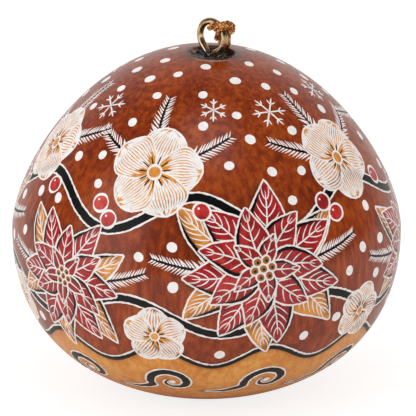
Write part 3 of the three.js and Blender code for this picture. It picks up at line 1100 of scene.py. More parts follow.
@dataclass(frozen=True)
class Mottled:
    """A finish whose tones and fine relief both come from one noise through the solid."""

    name: str
    slot: str
    noise: dict[str, float]  # cells in a metre, and the noise's other inputs
    tones: Tones
    relief: tuple[float, float]  # strength, and depth in millimetres
    surface: dict[str, float]
    gloss: tuple[float, ...] = ()  # noise from and to, and the roughness at each

    def material(self) -> bpy.types.Material:
        """Builds the noise, its tones and the surface.

        Returns:
            The material.
        """
        material, tree = new_material(self.name)
        cells = add_node(tree, "TexNoise", Vector=add_node(tree, "TexCoord").outputs["Object"], **self.noise)
        look = {"Base_Color": add_node(tree, "ValToRGB", stops=self.tones, i0=cells), **self.surface}
        if self.gloss:
            ends = {f"i{number}": value for number, value in enumerate(self.gloss, 1)}
            look["Roughness"] = add_node(tree, "MapRange", Value=cells, **ends)
        finish_surface(tree, cells, *self.relief, **look)
        return material


# A puddle of hardened glue: glassy and brown grey, with stirred-in streaks.
GLUE = Mottled(
    "hardened_glue",
    "glue",
    {"Scale": 500.0, "Detail": 3.0, "Distortion": 3.0},
    ((0.36, "#171210"), (0.52, "#37302b"), (0.66, "#5f554d")),
    (0.35, 0.15),
    {"Roughness": 0.12, "IOR": 1.5},
)
# Drawn brass wire: bright, and dulled by tarnish in small clouds.
BRASS = Mottled(
    "drawn_brass_wire",
    "brass",
    {"Scale": 600.0, "Detail": 4.0, "Roughness": 0.6},
    ((0.34, "#ac8a5c"), (0.5, "#e0c294"), (0.66, "#faecd0")),
    (0.2, 0.02),
    {"Metallic": 1.0},
    (0.35, 0.65, 0.26, 0.12),
)
# The cut ends of the cord: dark red-brown, partly its core's own colour and partly painted shade, matt and
# fibrous, with a few paler threads.
CUT_YARN = Mottled(
    "cut_yarn_core_and_shade",
    "metallic_cord",
    {"Scale": 6000.0, "Detail": 2.0},
    ((0.35, "#2e100a"), (0.55, "#5c2412"), (0.72, "#9a5a24")),
    (0.6, 0.04),
    {"Roughness": 0.7, "IOR": 1.45},
)
# The dry papery coat of a gourd seed: matt tan with faint darker stripes.
SEED_COAT = Mottled(
    "dry_seed_coat",
    "seed",
    {"Scale": 420.0, "Detail": 4.0},
    ((0.34, "#9a7a4c"), (0.52, "#c9a878"), (0.68, "#dcc49c")),
    (0.5, 0.08),
    {"Roughness": 0.75, "IOR": 1.45},
)


@dataclass(frozen=True)
class SandedRind:
    """The pale woody shell where the underside was sanded flat, and inside."""

    name: str = "sanded_rind"
    slot: str = "stained_gourd"
    tones: Tones = ((0.3, "#a8834f"), (0.5, "#c6a26c"), (0.7, "#dcc092"))

    def material(self) -> bpy.types.Material:
        """Builds matt tan fibre with fine sanding scratches.

        Returns:
            The material.
        """
        material, tree = new_material(self.name)
        space = add_node(tree, "TexCoord").outputs["Object"]
        fibre = add_node(tree, "TexNoise", Vector=space, Scale=900.0, Detail=4.0, Roughness=0.65)
        drawn = add_node(tree, "Mapping", i0=space, Scale=(300.0, 5000.0, 300.0), Rotation=(0, 0, 0.6))
        scratches = add_node(tree, "TexNoise", Vector=drawn, Scale=1.0, Detail=2.0)
        both = add_node(tree, "Mix", FLOATS, i0=0.4, i2=fibre, i3=scratches)
        tones = add_node(tree, "ValToRGB", stops=self.tones, i0=both)
        finish_surface(tree, both, 0.5, 0.05, Base_Color=tones, Roughness=0.78, IOR=1.45)
        return material


@dataclass(frozen=True)
class StemCork:
    """The dark corky stem scar, glazed in patches by glue and varnish."""

    name: str = "stem_scar_cork"
    slot: str = "stained_gourd"
    tones: Tones = ((0.36, "#0c0908"), (0.54, "#221916"), (0.72, "#5c4a42"))
    rind_tones: Tones = ((0.48, "#4e1e10"), (0.6, "#64301e"), (0.68, "#b8682e"))

    def material(self) -> bpy.types.Material:
        """Builds charcoal cork with glossy swirls, which gives way to dyed rind in a ragged line at its rim.

        Returns:
            The material.
        """
        material, tree = new_material(self.name)
        space = add_node(tree, "TexCoord").outputs["Object"]
        rim = add_node(tree, "Attribute", {"attribute_name": "rim"})
        lumps = add_node(tree, "TexNoise", Vector=space, Scale=800.0, Detail=5.0, Distortion=1.2)
        cork = add_node(tree, "ValToRGB", stops=self.tones, i0=lumps)
        patches = add_node(tree, "TexNoise", Vector=space, Scale=420.0, Detail=4.0, Roughness=0.6)
        ragged = add_node(tree, "Math", {"operation": "ADD"}, i0=rim.outputs["Fac"], i1=patches)
        share = add_node(tree, "MapRange", Value=ragged, i1=0.86, i2=1.3, i3=0.0, i4=1.0)
        chips = add_node(tree, "TexNoise", Vector=space, Scale=650.0, Detail=2.0)
        bare = add_node(tree, "ValToRGB", stops=self.rind_tones, i0=chips)
        colour = add_node(tree, "Mix", COLOURS, i0=share, i6=cork, i7=bare)
        gloss = add_node(tree, "MapRange", Value=lumps, i1=0.4, i2=0.62, i3=0.1, i4=0.4)
        finish_surface(tree, lumps, 0.5, 0.2, Base_Color=colour.outputs[2], Roughness=gloss, IOR=1.48)
        return material


@dataclass(frozen=True)
class MetallicYarn:
    """Orange brown yarn wrapped in flat gold thread, which sparkles point by point; its palest flakes are
    painted glints.
    """

    name: str = "gold_wrapped_yarn"
    slot: str = "metallic_cord"
    flake: float = 0.28  # length of gold thread between two turns
    # The two palest stops are painted glints on the gold thread.
    tones: Tones = (
        (0.0, "#481206"),
        (0.3, "#9c3e10"),
        (0.5, "#dc7618"),
        (0.7, "#f29c34"),
        (0.86, "#ffd486"),
        (1.0, "#fff6dc"),
    )

    def material(self) -> bpy.types.Material:
        """Builds gold flakes over brown orange yarn, the palest flakes painted glints.

        Returns:
            The material.
        """
        material, tree = new_material(self.name)
        space = add_node(tree, "TexCoord").outputs["Object"]
        cells = add_node(tree, "TexVoronoi", Vector=space, Scale=1000 / self.flake, Randomness=1.0)
        pick = add_node(tree, "SeparateColor", Color=cells.outputs["Color"]).outputs
        tones = add_node(tree, "ValToRGB", stops=self.tones, i0=pick[0])
        metal = add_node(tree, "MapRange", Value=pick[0], i1=0.28, i2=0.4, i3=0.0, i4=0.55)
        gloss = add_node(tree, "MapRange", Value=pick[1], i1=0.0, i2=1.0, i3=0.18, i4=0.5)
        finish_surface(tree, pick[2], 0.8, 0.06, Base_Color=tones, Metallic=metal, Roughness=gloss)
        return material


Finish = DyedRind | Mottled | SandedRind | StemCork | MetallicYarn


# Pieces.


CROWN_FROM = 50.0  # what lies above this height belongs to the crown


def add_piece(name: str, mesh: bpy.types.Mesh, finish: Finish, body: str = "ornament") -> bpy.types.Object:
    """Puts a finished mesh in the scene.

    Args:
        name: Name of the piece.
        mesh: Its mesh, in metres, in place.
        finish: A finish with a material and a slot.
        body: The CAD body that it moves with.

    Returns:
        The piece.
    """
    piece = bpy.data.objects.new(name, mesh)
    bpy.context.scene.collection.objects.link(piece)
    mesh.materials.append(finish.material())
    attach(piece, body)
    LOG.info("%s: %d faces", name, len(mesh.polygons))
    return piece


@dataclass
class PaintedSkin:
    """The whole outside of the gourd: one thin sheet for each paint, cut from one drawing."""

    skin: Skin
    rim_points: int = 72
    foot_points: int = 90
    ring_points: int = 80
    rings: tuple[float, ...] = (0.35, 0.75, 1.25)  # how far beyond the scar's rim loose points stand
    join: float = 1e-7  # map points closer than this become one
    least_varnish: float = 0.08  # share left at the rest face and at the scar
    burn: tuple[float, float, float] = (0.75, 0.5, 0.55)  # brown by a line, how far it holds, how it fades
    scar_stain_and_shade: tuple[float, float] = (0.45, 1.4)  # brown round the scar, partly its stain and partly painted shade at the dish's edge, and how it fades
    heart: float = 0.6  # brown in the middle of a flower
    lip: tuple[float, float, float] = (0.8, 0.3, 0.55)  # painted highlight on the scar's front lip: how strong, how far out, how wide
    foot: tuple[float, float] = (0.05, 0.6)  # heights between which the wear of the rest face fades
    finishes: dict[Paint, tuple[str, DyedRind]] = field(
        default_factory=lambda: {
            Paint.GROUND: ("stained_ground", STAIN),
            Paint.OCHRE: ("bare_patches", BARE),
            Paint.RED: ("red_petals", RED_DYE),
            Paint.WINE: ("wine_petals", WINE_DYE),
            Paint.BLACK: ("burnt_lines", CHAR),
            Paint.WHITE: ("white_cuts", CHALK),
        }
    )

    def _scar_rim(self, count: int, beyond: float = 0.0) -> Array:
        """Map points of the rim of the stem scar, or of a ring beyond it.

        Args:
            count: How many points.
            beyond: How far outside the rim they stand.

        Returns:
            The map points.
        """
        a = np.linspace(0, 2 * math.pi, count, endpoint=False)
        reach = StemScar.radius + beyond
        x, y = StemScar.offset + reach * np.cos(a), reach * np.sin(a)
        return self.skin.chart(np.arctan2(x, -y), self.skin.on_shoulder(np.hypot(x, y), self.skin.s))

    def _grid(self, spacing: float) -> Array:
        """Staggered map points all over the plain skin.

        Args:
            spacing: How far apart the points are on the skin.

        Returns:
            The map points.
        """
        rows = []
        levels = np.arange(spacing * 0.6, self.skin.length - 3, spacing * 0.87)
        for i, s in enumerate(levels):
            count = max(8, int(2 * math.pi * self.skin.radius(s) / spacing))
            theta = (np.arange(count) + 0.5 * (i % 2)) * 2 * math.pi / count
            rows.append(self.skin.chart(theta, np.full(count, s)))
        return np.concatenate(rows)

    def _cut(self, drawing: Drawing) -> tuple[Array, Array, Array]:
        """Joins the drawing, the two rims and the plain skin into painted triangles.

        Args:
            drawing: The finished drawing.

        Returns:
            The map points, the three points of each face by number, and the paint of each face.
        """
        round_foot = np.linspace(0, 2 * math.pi, self.foot_points, endpoint=False)
        rims = (self.skin.chart(round_foot, np.zeros(self.foot_points)), self._scar_rim(self.rim_points))
        rings = [self._scar_rim(self.ring_points, beyond) for beyond in self.rings]
        points = np.concatenate([*drawing.points, *rims, self._grid(drawing.grid), *rings])
        edges, first = list(drawing.edges), drawing.count
        for rim in rims:
            i = np.arange(len(rim))
            edges.append(first + np.stack([i, (i + 1) % len(rim)], -1))
            first += len(rim)
        pairs = np.concatenate(edges).tolist()
        made = delaunay_2d_cdt([Vector(p) for p in points], pairs, [], 0, self.join, False)
        chart, faces = np.array([tuple(v) for v in made[0]]), np.array(made[2])
        middles = chart[faces].mean(axis=1)
        theta, s = self.skin.unchart(middles)
        bare = np.where(s < FootBorder().edge(theta), Paint.OCHRE, Paint.GROUND)
        paints = np.array([base if top is None else top for top, base in zip(drawing.paint_at(middles), bare)])
        # What the joining filled inside the rim of the scar is left out again.
        centre = self.skin.place(chart)[0][faces].mean(axis=1)
        off = np.hypot(centre[:, 0] - StemScar.offset, centre[:, 1])
        inner = StemScar.radius * math.cos(math.pi / self.rim_points) - 0.004
        keep = (off > inner) | (centre[:, 2] < CROWN_FROM)
        LOG.info("skin: %d points, %d faces", len(chart), keep.sum())
        return chart, faces[keep], paints[keep]

    def build(self) -> list[bpy.types.Object]:
        """Draws the garland, cuts the skin into sheets and dresses them.

        Returns:
            The sheets.
        """
        drawing = Garland(self.skin).draw()
        chart, faces, paints = self._cut(drawing)
        place, normal = self.skin.place(chart)
        # Points inside a white cut, away from its edges, are sunk.
        sunk = np.ones(len(chart), bool)
        sunk[faces[paints != Paint.WHITE].ravel()] = False
        out = self.skin.varnish * self._lift(place) - np.where(sunk, drawing.groove, 0)
        place = place + normal * out[:, None]
        values = {
            "growth": self._growth(chart),
            "scorch_and_shade": self._scorch_and_shade(drawing, place),
            "wear_and_sheen": self._wear_and_sheen(place),
        }
        grooves = self._cut_normals(place, faces[paints == Paint.WHITE])
        pieces = []
        for paint, (name, finish) in self.finishes.items():
            chosen = faces[paints == paint]
            sheets, shading = {name: chosen}, normal
            if paint is Paint.WHITE:
                # The cuts are many, so they come in two halves.
                left = place[chosen].mean(axis=1)[:, 0] < 0
                sheets, shading = {f"{name}_left": chosen[left], f"{name}_right": chosen[~left]}, grooves
            for label, sheet in sheets.items():
                pieces.append(add_piece(label, self._sheet(label, sheet, place, shading, values), finish))
        return pieces

    @staticmethod
    def _sheet(
        name: str, corners: Array, place: Array, shading: Array, values: dict[str, Array]
    ) -> bpy.types.Mesh:
        """Makes the mesh of one paint, with its coordinates and shading.

        Args:
            name: Name of the mesh.
            corners: The three points of each face, by number.
            place: Where each point is.
            shading: The direction that each point is shaded by.
            values: What the finish reads at each point, by name.

        Returns:
            The mesh, in metres.
        """
        used, flat = np.unique(corners, return_inverse=True)
        mesh = bpy.data.meshes.new(name)
        mesh.from_pydata((place[used] * MM).tolist(), [], flat.reshape(-1, 3).tolist())
        mesh.polygons.foreach_set("use_smooth", [True] * len(corners))
        for key, rows in values.items():
            kind, entry = ("FLOAT_VECTOR", "vector") if rows.ndim == 2 else ("FLOAT", "value")
            mesh.attributes.new(key, kind, "POINT").data.foreach_set(entry, rows[used].ravel())
        mesh.normals_split_custom_set_from_vertices(shading[used].tolist())
        return mesh

    def _lift(self, place: Array) -> Array:
        """Share of the varnish's thickness, which runs out at the rest face and at the scar.

        Args:
            place: Where each point is.

        Returns:
            The share at each point.
        """
        off = np.hypot(place[:, 0] - StemScar.offset, place[:, 1])
        scar = smooth_step(off, StemScar.radius - 0.2, StemScar.radius + 1)
        crown = np.where(place[:, 2] > CROWN_FROM, scar, 1.0)
        low, high = self.foot
        least = self.least_varnish
        return least + (1 - least) * np.minimum(crown, smooth_step(place[:, 2], -low, high))

    def _scorch_and_shade(self, drawing: Drawing, place: Array) -> Array:
        """How brown each point is: near a burnt line, round the scar, where it is partly painted shade, and at
        the heart of a flower.

        Args:
            drawing: The finished drawing.
            place: Where each point is.

        Returns:
            A value from 0 to 1 for each point.
        """
        lines = nearest_tree(np.concatenate(drawing.scorched))
        gap = np.array([lines.find(point)[2] for point in place])
        most, held, fade = self.burn
        brown = most * np.exp(-np.maximum(gap - held, 0) / fade)
        # Round the scar the brown is partly stain and partly painted shade at the dish's edge.
        stem = np.hypot(place[:, 0] - StemScar.offset, place[:, 1]) - StemScar.radius
        side = np.abs(place[:, 0] - StemScar.offset) / (StemScar.radius + 1)
        most, fade = self.scar_stain_and_shade
        scar_stain_and_shade = np.exp(-np.maximum(stem, 0) / fade) * (most + most * side)
        brown = np.maximum(brown, np.where(place[:, 2] > CROWN_FROM, scar_stain_and_shade, 0))
        for middle, reach in drawing.hearts:
            away = np.linalg.norm(place - middle, axis=1) / reach
            brown = np.maximum(brown, self.heart * np.exp(-(away**2)))
        return brown

    def _wear_and_sheen(self, place: Array) -> Array:
        """How pale each point is: a painted highlight on the front lip of the scar, and wear round the sanded
        rest face.

        Args:
            place: Where each point is.

        Returns:
            A value from 0 to 1 for each point.
        """
        x, y = place[:, 0] - StemScar.offset, place[:, 1]
        # The pale band on the scar's lip is a painted highlight, laid on its front side only.
        most, beyond, width = self.lip
        lip = most * np.exp(-(((np.hypot(x, y) - StemScar.radius - beyond) / width) ** 2))
        front = smooth_step(-y / StemScar.radius, 0.55, 1.0)
        foot = 1 - smooth_step(place[:, 2], *self.foot)
        return np.maximum(np.where(place[:, 2] > CROWN_FROM, lip * front, 0), foot)

    def _growth(self, chart: Array) -> Array:
        """Coordinates that run up the gourd with its growth streaks, in millimetres round and along.

        Args:
            chart: Map points.

        Returns:
            Three coordinates for each point.
        """
        theta, s = self.skin.unchart(chart)
        radius = self.skin.radius(s)
        return np.stack([radius * np.sin(theta), -radius * np.cos(theta), s], -1)

    @staticmethod
    def _cut_normals(place: Array, corners: Array) -> Array:
        """Normals of the grooves alone, so that their edges stay crisp.

        Args:
            place: Where each point is.
            corners: The three points of each face of the grooves, by number.

        Returns:
            A direction for each point.
        """
        a, b, c = (place[corners[:, i]] for i in range(3))
        faces = np.cross(b - a, c - a)
        total = np.zeros_like(place)
        for i in range(3):
            np.add.at(total, corners[:, i], faces)
        return unit(total)


@dataclass
class StemScar:
    """The shallow corky dish at the crown, with the glue round the foot of the eye."""

    skin: Skin
    offset: float = 1.2
    radius: float = 5.3
    depth: float = 1.35
    glue_radius: float = 3.0
    rings: int = 26
    glue_rings: int = 16
    steps: int = 84  # round the stem
    lumps: tuple[tuple[float, float, float], ...] = ((0.9, 3.1, 0.3), (2.6, 7.7, 0.14))  # cells, layer, height
    ripple: float = 0.13

    @property
    def floor(self) -> float:
        """Height of the dish's lowest point."""
        return float(self.skin.on_shoulder(self.radius, self.skin.z)) - self.depth

    def height(self, x: float, y: float) -> float:
        """Height of the cork at a place from the stem's own axis.

        Args:
            x: Distance to the right of the stem's own axis.
            y: Distance behind it.

        Returns:
            The height.
        """
        away = math.hypot(x, y)
        dish = self.floor + self.depth * (away / self.radius) ** 2
        lump = 0.0
        for cells, layer, high in self.lumps:
            lump += high * noise.noise(Vector((x * cells, y * cells, layer)))
        ripple = self.ripple * math.sin(4.0 * away + 3.5 * noise.noise(Vector((x * 0.6, y * 0.6, 0.4))))
        fade = float(smooth_step(np.array(self.radius - away), 0.0, 1.2))
        edge = float(self.skin.on_shoulder(math.hypot(x + self.offset, y), self.skin.z)) + 0.01
        low = dish + 0.16 + max(-0.12, lump + ripple)
        return edge + (low - edge) * fade

    def _disc(self, reach: float, rings: int, height: Callable[[float, float], float]) -> bpy.types.Mesh:
        """A round sheet about the stem, spun from one spoke and raised to a height at each place.

        Args:
            reach: Radius of the sheet.
            rings: Rings of faces.
            height: What gives the height.

        Returns:
            The mesh, in metres.
        """
        shape = bmesh.new()
        spoke = [shape.verts.new((reach * (1 - i / rings), 0, 0)) for i in range(rings)]
        geom = spoke + [shape.edges.new(pair) for pair in zip(spoke, spoke[1:])]
        whole = {"cent": (0, 0, 0), "axis": (0, 0, 1), "angle": 2 * math.pi, "use_merge": True}
        bmesh.ops.spin(shape, geom=geom, steps=self.steps, **whole)
        inner = [v for v in shape.verts if v.co.length < reach / rings * 1.5]
        brink = [e for e in shape.edges if e.is_boundary and e.verts[0] in inner]
        bmesh.ops.contextual_create(shape, geom=inner + brink)
        bmesh.ops.recalc_face_normals(shape, faces=shape.faces)
        for vert in shape.verts:
            x, y, _ = vert.co
            vert.co = Vector((x + self.offset, y, height(x, y))) * MM
        if sum(face.normal.z for face in shape.faces) < 0:
            bmesh.ops.reverse_faces(shape, faces=shape.faces)
        mesh = mesh_of(shape, "stem")
        rim = mesh.attributes.new("rim", "FLOAT", "POINT")
        for vert, out in zip(mesh.vertices, rim.data):
            x, y = vert.co.x / MM - self.offset, vert.co.y / MM
            away = math.hypot(x, y) + 0.35 * y / self.radius
            out.value = float(smooth_step(np.array(away), self.radius - 2.0, self.radius))
        return mesh

    def build(self) -> list[bpy.types.Object]:
        """Makes the cork and the glue.

        Returns:
            The cork and the glue.
        """
        cork = add_piece("stem_scar", self._disc(self.radius, self.rings, self.height), StemCork())

        def puddle(x: float, y: float) -> float:
            """Height of the glue, which thins to its wavy edge.

            Args:
                x: Distance to the right of the stem's own axis.
                y: Distance behind it.

            Returns:
                The height.
            """
            away, way = math.hypot(x, y), math.atan2(y, x)
            reach = self.glue_radius * (0.92 + 0.08 * math.sin(3 * way + 1) + 0.06 * math.sin(5 * way))
            share = 1 - min(1.0, away / reach) ** 2.5
            return self.height(x, y) - 0.12 + 0.55 * share + 0.12 * noise.noise(Vector((x, y, 9.0))) * share

        glue = add_piece("glue_puddle", self._disc(self.glue_radius, self.glue_rings, puddle), GLUE)
        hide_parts("glue_collar")
        return [cork, glue]


def tube(
    name: str, lines: Iterable[Array], radius: float, sides: int = 8, taper: float = 0.0
) -> bpy.types.Mesh:
    """Round rods along lines of points, as one mesh.

    Args:
        name: Name of the mesh.
        lines: One array of points for each rod.
        radius: Radius of the rods.
        sides: Sides of their section, a multiple of 4.
        taper: Share by which a rod narrows at its two ends.

    Returns:
        The mesh, in metres.
    """
    curve = bpy.data.curves.new(name, "CURVE")
    curve.dimensions = "3D"
    curve.bevel_depth = radius * MM
    curve.bevel_resolution = sides // 2 - 1 if sides < 8 else sides // 2 - 2
    curve.use_fill_caps = True
    for line in lines:
        spline = curve.splines.new("POLY")
        spline.points.add(len(line) - 1)
        spline.points.foreach_set("co", np.column_stack([line * MM, np.ones(len(line))]).ravel())
        size = np.ones(len(line))
        size[[0, -1]] = 1 - taper
        spline.points.foreach_set("radius", size)
    holder = bpy.data.objects.new(name, curve)
    bpy.context.scene.collection.objects.link(holder)
    mesh = bpy.data.meshes.new_from_object(holder.evaluated_get(bpy.context.evaluated_depsgraph_get()))
    bpy.data.objects.remove(holder)
    mesh.name = name
    mesh.shade_smooth()
    return mesh


def smooth_line(points: Sequence[Sequence[float]], spacing: float) -> Array:
    """A centripetal curve through points, with stations a spacing apart.

    Args:
        points: The points that it goes through.
        spacing: How far apart its stations are.

    Returns:
        The stations.
    """
    p = np.array(points, float)
    p = np.concatenate([[2 * p[0] - p[1]], p, [2 * p[-1] - p[-2]]])
    out = []
    for a, b, c, d in zip(p, p[1:], p[2:], p[3:]):
        t = np.cumsum([0, *(math.sqrt(np.linalg.norm(v - u)) for u, v in ((a, b), (b, c), (c, d)))])
        x = np.linspace(t[1], t[2], 40)[:-1, None]
        pairs = enumerate(((a, b), (b, c), (c, d)))
        ab, bc, cd = (blend(x, t[i], t[i + 1], *pair) for i, pair in pairs)
        abc, bcd = blend(x, t[0], t[2], ab, bc), blend(x, t[1], t[3], bc, cd)
        out.append(blend(x, t[1], t[2], abc, bcd))
    line = np.concatenate([*out, p[-2:-1]])
    along = distances(line)
    return read_rows(np.linspace(0, along[-1], max(4, int(along[-1] / spacing)) + 1), along, line)


@dataclass
class Eye:
    """The brass screw eye: a ring turned away from the front, a neck and a thread."""

    floor: float  # height of the scar's floor, which the wire rises from
    offset: float = StemScar.offset
    wire: float = 1.45
    ring: float = 6.6
    turn: float = 41.0
    gap: float = 220.0  # where the wire leaves the ring's circle
    end_run: float = 2.0  # how far it then runs straight to its cut end
    neck: float = -60.0
    foot_lift: float = 0.8
    thread: float = 1.5
    core: float = 1.05
    pitch: float = 0.9
    thread_length: float = 7.2
    point: float = 1.2
    turn_steps: int = 20
    buried: float = 1.2  # how far the wire goes on below its foot
    cut_round: float = 0.12  # rounding of its cut end
    thread_drop: float = 0.4  # from the scar's floor to the top of the thread

    @property
    def height(self) -> float:
        """Height of the ring's middle."""
        return self.floor + self.foot_lift + self.wire / 2 + self.ring / 2

    def inside(self, across: float, up: float, ahead: float = 0.0) -> Array:
        """A point of the ring's plane, with ahead towards the viewer.

        Args:
            across: Distance to the ring's right.
            up: Distance above its middle.
            ahead: Distance out of its plane.

        Returns:
            The point.
        """
        a = math.radians(self.turn)
        return np.array(
            [
                self.offset + across * math.cos(a) - ahead * math.sin(a),
                -across * math.sin(a) - ahead * math.cos(a),
                self.height + up,
            ]
        )

    def on_ring(self, degrees: float, out: float = 0.0, ahead: float = 0.0) -> Array:
        """The middle of the wire at an angle from the ring's right, or a point further out or ahead."""
        a, r = math.radians(degrees), self.ring / 2 + out
        return self.inside(r * math.cos(a), r * math.sin(a), ahead)

    def wire_line(self) -> Array:
        """The wire's middle line from its foot in the bore, round and down to its cut end.

        Returns:
            The line's points.
        """
        a, r = math.radians(self.neck), self.ring / 2
        start, foot = self.on_ring(self.neck), self.inside(0, self.floor - self.height)
        corner = self.inside(0, r * math.sin(a) - r * math.cos(a) / math.tan(-a))
        t = np.linspace(0, 1, 12)[1:-1, None]
        bend = (1 - t) ** 2 * foot + 2 * t * (1 - t) * corner + t**2 * start
        arc = [self.on_ring(d) for d in np.linspace(self.neck, self.gap, 110)]
        onward = unit(arc[-1] - arc[-2])
        end = [arc[-1] + onward * self.end_run * share for share in (0.25, 0.5, 0.75, 1)]
        return np.array([foot - [0, 0, self.buried], foot - [0, 0, self.buried / 2], foot, *bend, *arc, *end])

    def build(self) -> bpy.types.Object:
        """Makes the wire and the thread as one piece.

        Returns:
            The piece.
        """
        shape = bmesh.new()
        shape.from_mesh(tube("eye_wire", [self.wire_line()], self.wire / 2, 20))
        bmesh.ops.remove_doubles(shape, verts=shape.verts, dist=1e-7)
        ends = [e for e in shape.edges if e.is_manifold and e.calc_face_angle() > 1.2]
        rounding = {"segments": 3, "profile": 0.5, "affect": "EDGES", "material": -1, "clamp_overlap": True}
        bmesh.ops.bevel(shape, geom=ends, offset=self.cut_round * MM, **rounding)
        self._add_thread(shape)
        eye = add_piece("screw_eye_wire", mesh_of(shape, "screw_eye_wire"), BRASS)
        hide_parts("screw_eye")
        return eye

    def _add_thread(self, shape: bmesh.types.BMesh) -> None:
        """Winds a helical ridge and its core down from the foot of the wire.

        Args:
            shape: The wire's bmesh, in metres, which gets the thread.
        """
        turns = self.thread_length / self.pitch
        top = self.floor - self.thread_drop
        core, crest = self.core / 2, self.thread / 2
        lower = [(core * 0.8, -0.3), (core, -0.26), (crest, -0.03)]
        section = lower + [(r, -z) for r, z in reversed(lower)]
        verts = [shape.verts.new(((self.offset + r) * MM, 0, (top + z) * MM)) for r, z in section]
        face = shape.faces.new(verts)
        bmesh.ops.spin(
            shape,
            geom=[face, *face.edges, *face.verts],
            cent=(self.offset * MM, 0, 0),
            axis=(0, 0, 1),
            dvec=(0, 0, -self.pitch / self.turn_steps * MM),
            angle=2 * math.pi * turns,
            steps=int(self.turn_steps * turns),
        )
        point = (0.1, self.point, top - self.thread_length - self.point / 2)
        rod = (core, self.thread_length, top - self.thread_length / 2)
        for tip, depth, height in (point, rod):
            size = {"radius1": tip * MM, "radius2": core * MM, "depth": depth * MM}
            made = bmesh.ops.create_cone(shape, cap_ends=True, segments=self.turn_steps, **size)
            bmesh.ops.translate(shape, verts=made["verts"], vec=(self.offset * MM, 0, height * MM))
        bmesh.ops.recalc_face_normals(shape, faces=shape.faces)


